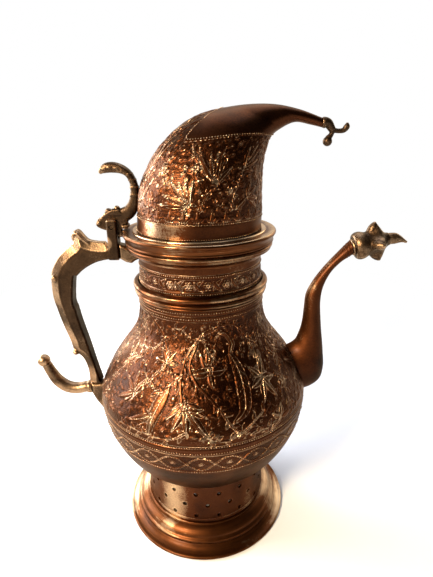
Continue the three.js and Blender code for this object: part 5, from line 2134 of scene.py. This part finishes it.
    def build(self) -> None:
        """Make the tube, the bud and the beak."""
        self.tube()
        self.bud()
        self.beak()


@dataclass
class LidFittings:
    """The cast thumb lever and the forked finial at the horn's tip."""

    shop: Workshop
    room: float = 15.5
    tip: tuple[float, float] = (71.5, 271.1)

    def lever(self) -> None:
        """Cast the lever: a leaf, a knuckle on the pin, a curl for the thumb and a root on the flange."""
        rows = points(
            (-9.4, -0.2), (-7.6, 4.4), (-4.4, 7.8), (0.6, 10.4), (4.6, 10.6), (9.4, 6.0), (9.8, 2.6), (9.6, -1.15),
            (5.9, -1.15), (5.9, -6.9), (3.5, -6.9), (3.5, -4.2), (0, -4.7), (-4.0, -2.6), (-7.0, -1.6),
        ) + HINGE

        def cheeks(depth: np.ndarray, place: Line) -> np.ndarray:
            """Return the lever's half thickness: rounded, and thicker at its top."""
            high = ease((place[:, 1] - HINGE[1] - 5.5) / 2.5)
            return (2.0 + 0.7 * high) - 0.7 * (1 - np.minimum(depth / 0.9, 1)) ** 2

        shells = [casting(rows, cheeks, 0.5)]
        curl = points(
            (0.219, 4.6, 3.6, 2.2), (0.49, 6.6, 4.4, 2.5), (0.735, 9, 4, 2.9), (0.916, 13.6, 3.3, 3.1),
            (0.981, 18.4, 2.8, 3.2), (0.987, 23.4, 2.4, 3.2), (0.916, 28, 2.1, 3.3), (0.761, 31.6, 2.2, 3.4),
            (0.516, 33.8, 2.7, 3.5), (0.232, 34.7, 3.1, 3.4), (0.013, 34.5, 3, 3.3), (-0.181, 33.2, 2.2, 2.7),
            (-0.297, 31.5, 0.9, 1.4),
        )
        curl[:, 0] *= self.room
        curl[:, :2] += HINGE
        shells.append(limb(curl, 90, 28, 2.6))
        # The front of the curl is cut in low ribs across, and a small bead closes its root
        for share in np.linspace(0.34, 0.86, 8):
            x, z, deep, wide = spline(curl, np.array([share]))[0]
            rib = points(*[(x, z + side * 0.55, deep + 0.32, wide + 0.2) for side in (-1, 1)])
            shells.append(limb(rib, 4, 24, 2.6))
        leaf = points((-6.2, 3.8, 2, 1.8), (-8, 2, 1.9, 2.6), (-9.4, 0.2, 1, 1.4)) + (*HINGE, 0, 0)
        shells.append(limb(leaf, 12, 20))
        for across, above, radius in ((-1.6, 8.6, 2.3), (3.6, 10.4, 2.0)):
            shells.append(ball(HINGE[0] + across, HINGE[1] + above, radius))
        shells.append(block((-47.2, -4.2, COWL_FOOT), (-43.4, 4.2, COWL_FOOT + 2.2), 0.4))
        self.shop.cast("thumb_lever", shells, 0.36, 1, rod(*HINGE, PIN_BORE, 12), body=LID, wear=0.42, gain=0.45)

    def finial(self) -> None:
        """Cast the fork with its hanging drop."""
        rows = [
            [(0.2, 0, 2.8), (1.3, 0, 3.1), (3.4, -0.4, 2.7), (6.4, -4.2, 2)],
            [(6, -3.9, 1.5), (9.5, -4.6, 1.3), (12.8, -4.2, 1.5), (14.3, -2.4, 1.8), (14.7, -0.2, 0.6)],
            [(6.4, -3.2, 1.9), (5.9, -6.2, 1.4), (4.2, -8.6, 1.9)],
        ]
        x, z = self.tip
        shells = [limb(points(*[(x + a, z + b, size, size) for a, b, size in row]), 30, 24) for row in rows]
        shells.append(ball(x + 3.9, z - 10.2, 2.7))
        self.shop.cast("lid_finial", shells, 0.3, 1, body=LID, wear=0.36)

    def build(self) -> None:
        """Make the lever and the finial."""
        self.lever()
        self.finial()


# Studio


@dataclass(frozen=True)
class Softbox:
    """A soft lamp that points at the pot's axis, measured in metres."""

    name: str
    place: tuple[float, float, float]
    aim_height: float
    size: tuple[float, float]
    watts: float
    colour: str

    def hang(self) -> None:
        """Put it into the scene."""
        data = bpy.data.lights.new(self.name, "AREA")
        data.shape, data.energy, data.color = "RECTANGLE", self.watts, to_linear(self.colour)[:3]
        data.size, data.size_y = self.size
        obj = placed(self.name, data)
        obj.location = self.place
        away = Vector((0, 0, self.aim_height)) - Vector(self.place)
        obj.rotation_euler = away.to_track_quat("-Z", "Y").to_euler()


LAMPS = (
    Softbox("key", (-0.71, -0.82, 0.7), 0.13, (0.26, 0.36), 31.5, "#ffebcd"),
    Softbox("left", (-1.1, 0.15, 0.42), 0.1, (0.5, 0.9), 28.0, "#f0f4ff"),
    Softbox("top", (0.1, 0.5, 1.4), 0.1, (1.0, 1.0), 9.5, "#e6ecff"),
    Softbox("back_left", (-0.85, 0.7, 0.4), 0.12, (0.4, 0.7), 13.0, "#f0f4ff"),
    Softbox("back_right", (0.8, 0.85, 0.5), 0.12, (0.4, 0.7), 2.2, "#fff4e6"),
)


@dataclass
class Studio:
    """The pale floor, the soft lamps and the camera at the photograph's place."""

    axis_x: float
    camera_offset: float = 10.12
    camera_away: float = 255.0
    camera_height: float = 265.8
    pitch: float = 20.35
    roll: float = -0.82
    lens: float = 26.0
    sensor: float = 36.0
    bend_foot: float = 1.3
    bend_radius: float = 0.7
    half_width: float = 9.0
    top: float = 5.0

    def camera(self) -> None:
        """Place the camera."""
        data = bpy.data.cameras.new("camera")
        data.lens, data.sensor_width, data.clip_start = self.lens, self.sensor, 0.01
        pitch, roll = math.radians(self.pitch), math.radians(self.roll)
        ahead = Vector((0, math.cos(pitch), -math.sin(pitch)))
        up = Vector((0, math.sin(pitch), math.cos(pitch)))
        right = Vector((1, 0, 0))
        across = math.cos(roll) * right + math.sin(roll) * up
        above = -math.sin(roll) * right + math.cos(roll) * up
        matrix = Matrix((across, above, -ahead)).transposed().to_4x4()
        matrix.translation = Vector((self.axis_x + self.camera_offset, -self.camera_away, self.camera_height)) * MM
        obj = placed("camera", data)
        obj.matrix_world = matrix
        bpy.context.scene.camera = obj

    def paper(self) -> bpy.types.Material:
        """Make the backdrop's paper, which holds the shadow near the pot and is plain white far from it."""
        material = bpy.data.materials.new("paper_backdrop")
        tree = blank_tree(material)
        shade = add_node(tree, "ShaderNodeBsdfDiffuse", values={"Color": to_linear("#f2f1ef")})
        # Away from the pot the paper shows plain white to the camera and to the metal alike
        ray = add_node(tree, "ShaderNodeLightPath").outputs
        seen = ray["Is Camera Ray"]
        for other in ("Is Glossy Ray", "Is Transmission Ray"):
            add = {"operation": "ADD", "use_clamp": True}
            seen = add_node(tree, "ShaderNodeMath", add, links={0: seen, 1: ray[other]})
        place = add_node(tree, "ShaderNodeTexCoord").outputs["Object"]
        axes = add_node(tree, "ShaderNodeSeparateXYZ", links={0: place}).outputs
        flat = add_node(tree, "ShaderNodeCombineXYZ", links={0: axes[0], 1: axes[1]})
        far = add_node(tree, "ShaderNodeVectorMath", {"operation": "LENGTH"}, links={0: flat}).outputs["Value"]
        away = add_node(
            tree, "ShaderNodeMapRange", {"interpolation_type": "SMOOTHSTEP"}, {1: 0.08, 2: 0.6}, {0: far}
        )
        share = add_node(tree, "ShaderNodeMath", {"operation": "MULTIPLY"}, links={0: seen, 1: away})
        white = add_node(tree, "ShaderNodeEmission", values={"Color": (1.0, 1.0, 1.0, 1.0), "Strength": 1.0})
        mix = add_node(tree, "ShaderNodeMixShader", links={0: share, 1: shade, 2: white})
        add_node(tree, "ShaderNodeOutputMaterial", links={0: mix})
        return material

    def floor(self) -> None:
        """Sweep the floor up into a backdrop."""
        radius = self.bend_radius
        angles = np.radians(np.linspace(-90, 0, 12))
        bend = [(self.bend_foot + radius * math.cos(a), radius + radius * math.sin(a)) for a in angles]
        line = [(-self.half_width, 0.0), (-1.0, 0.0), (0.5, 0.0), *bend, (self.bend_foot + radius, self.top)]
        verts = [(x, y, z) for y, z in line for x in (-self.half_width, self.half_width)]
        faces = [(2 * i, 2 * i + 1, 2 * i + 3, 2 * i + 2) for i in range(len(line) - 1)]
        mesh = bpy.data.meshes.new("floor")
        mesh.from_pydata(verts, [], faces)
        mesh.shade_smooth()
        mesh.materials.append(self.paper())
        obj = placed("floor", mesh)

    def build(self) -> None:
        """Set up the whole studio."""
        self.camera()
        self.floor()
        for lamp in LAMPS:
            lamp.hang()
        world = bpy.data.worlds.new("room")
        bpy.context.scene.world = world
        tree = blank_tree(world)
        sky = add_node(tree, "ShaderNodeBackground", values={"Color": to_linear("#e9e6e2"), "Strength": 0.08})
        add_node(tree, "ShaderNodeOutputWorld", links={0: sky})
        bpy.context.scene.view_settings.view_transform = "Standard"


def main() -> None:
    """Build the pot piece by piece, then the studio."""
    logging.basicConfig(level=logging.INFO, format="%(message)s")
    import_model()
    low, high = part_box("belly_bowl")
    axis_x = (low[0] + high[0]) / 2 / MM
    metals = {
        Metal.CHASED: CHASED_FINISH.make("copper_raised_and_chased"),
        Metal.POLISHED: POLISHED_FINISH.make("copper_spun_and_turned"),
        Metal.CAST: CAST_FINISH.make("brass_sand_cast_and_filed"),
    }
    Studio(axis_x).build()
    shop = Workshop(axis_x, metals)
    pot_pearls, lid_pearls = Pearls(shop, "pearl_rows_pot", POT), Pearls(shop, "pearl_rows_lid", LID)
    Foot(shop).build()
    Belly(shop, pot_pearls).build()
    Neck(shop, pot_pearls).build()
    Handle(shop).build()
    Spout(shop).build()
    LidBase(shop).build()
    Cowl(shop, lid_pearls).build()
    LidFittings(shop).build()
    pot_pearls.make()
    lid_pearls.make()


if __name__ == "__main__":
    main()
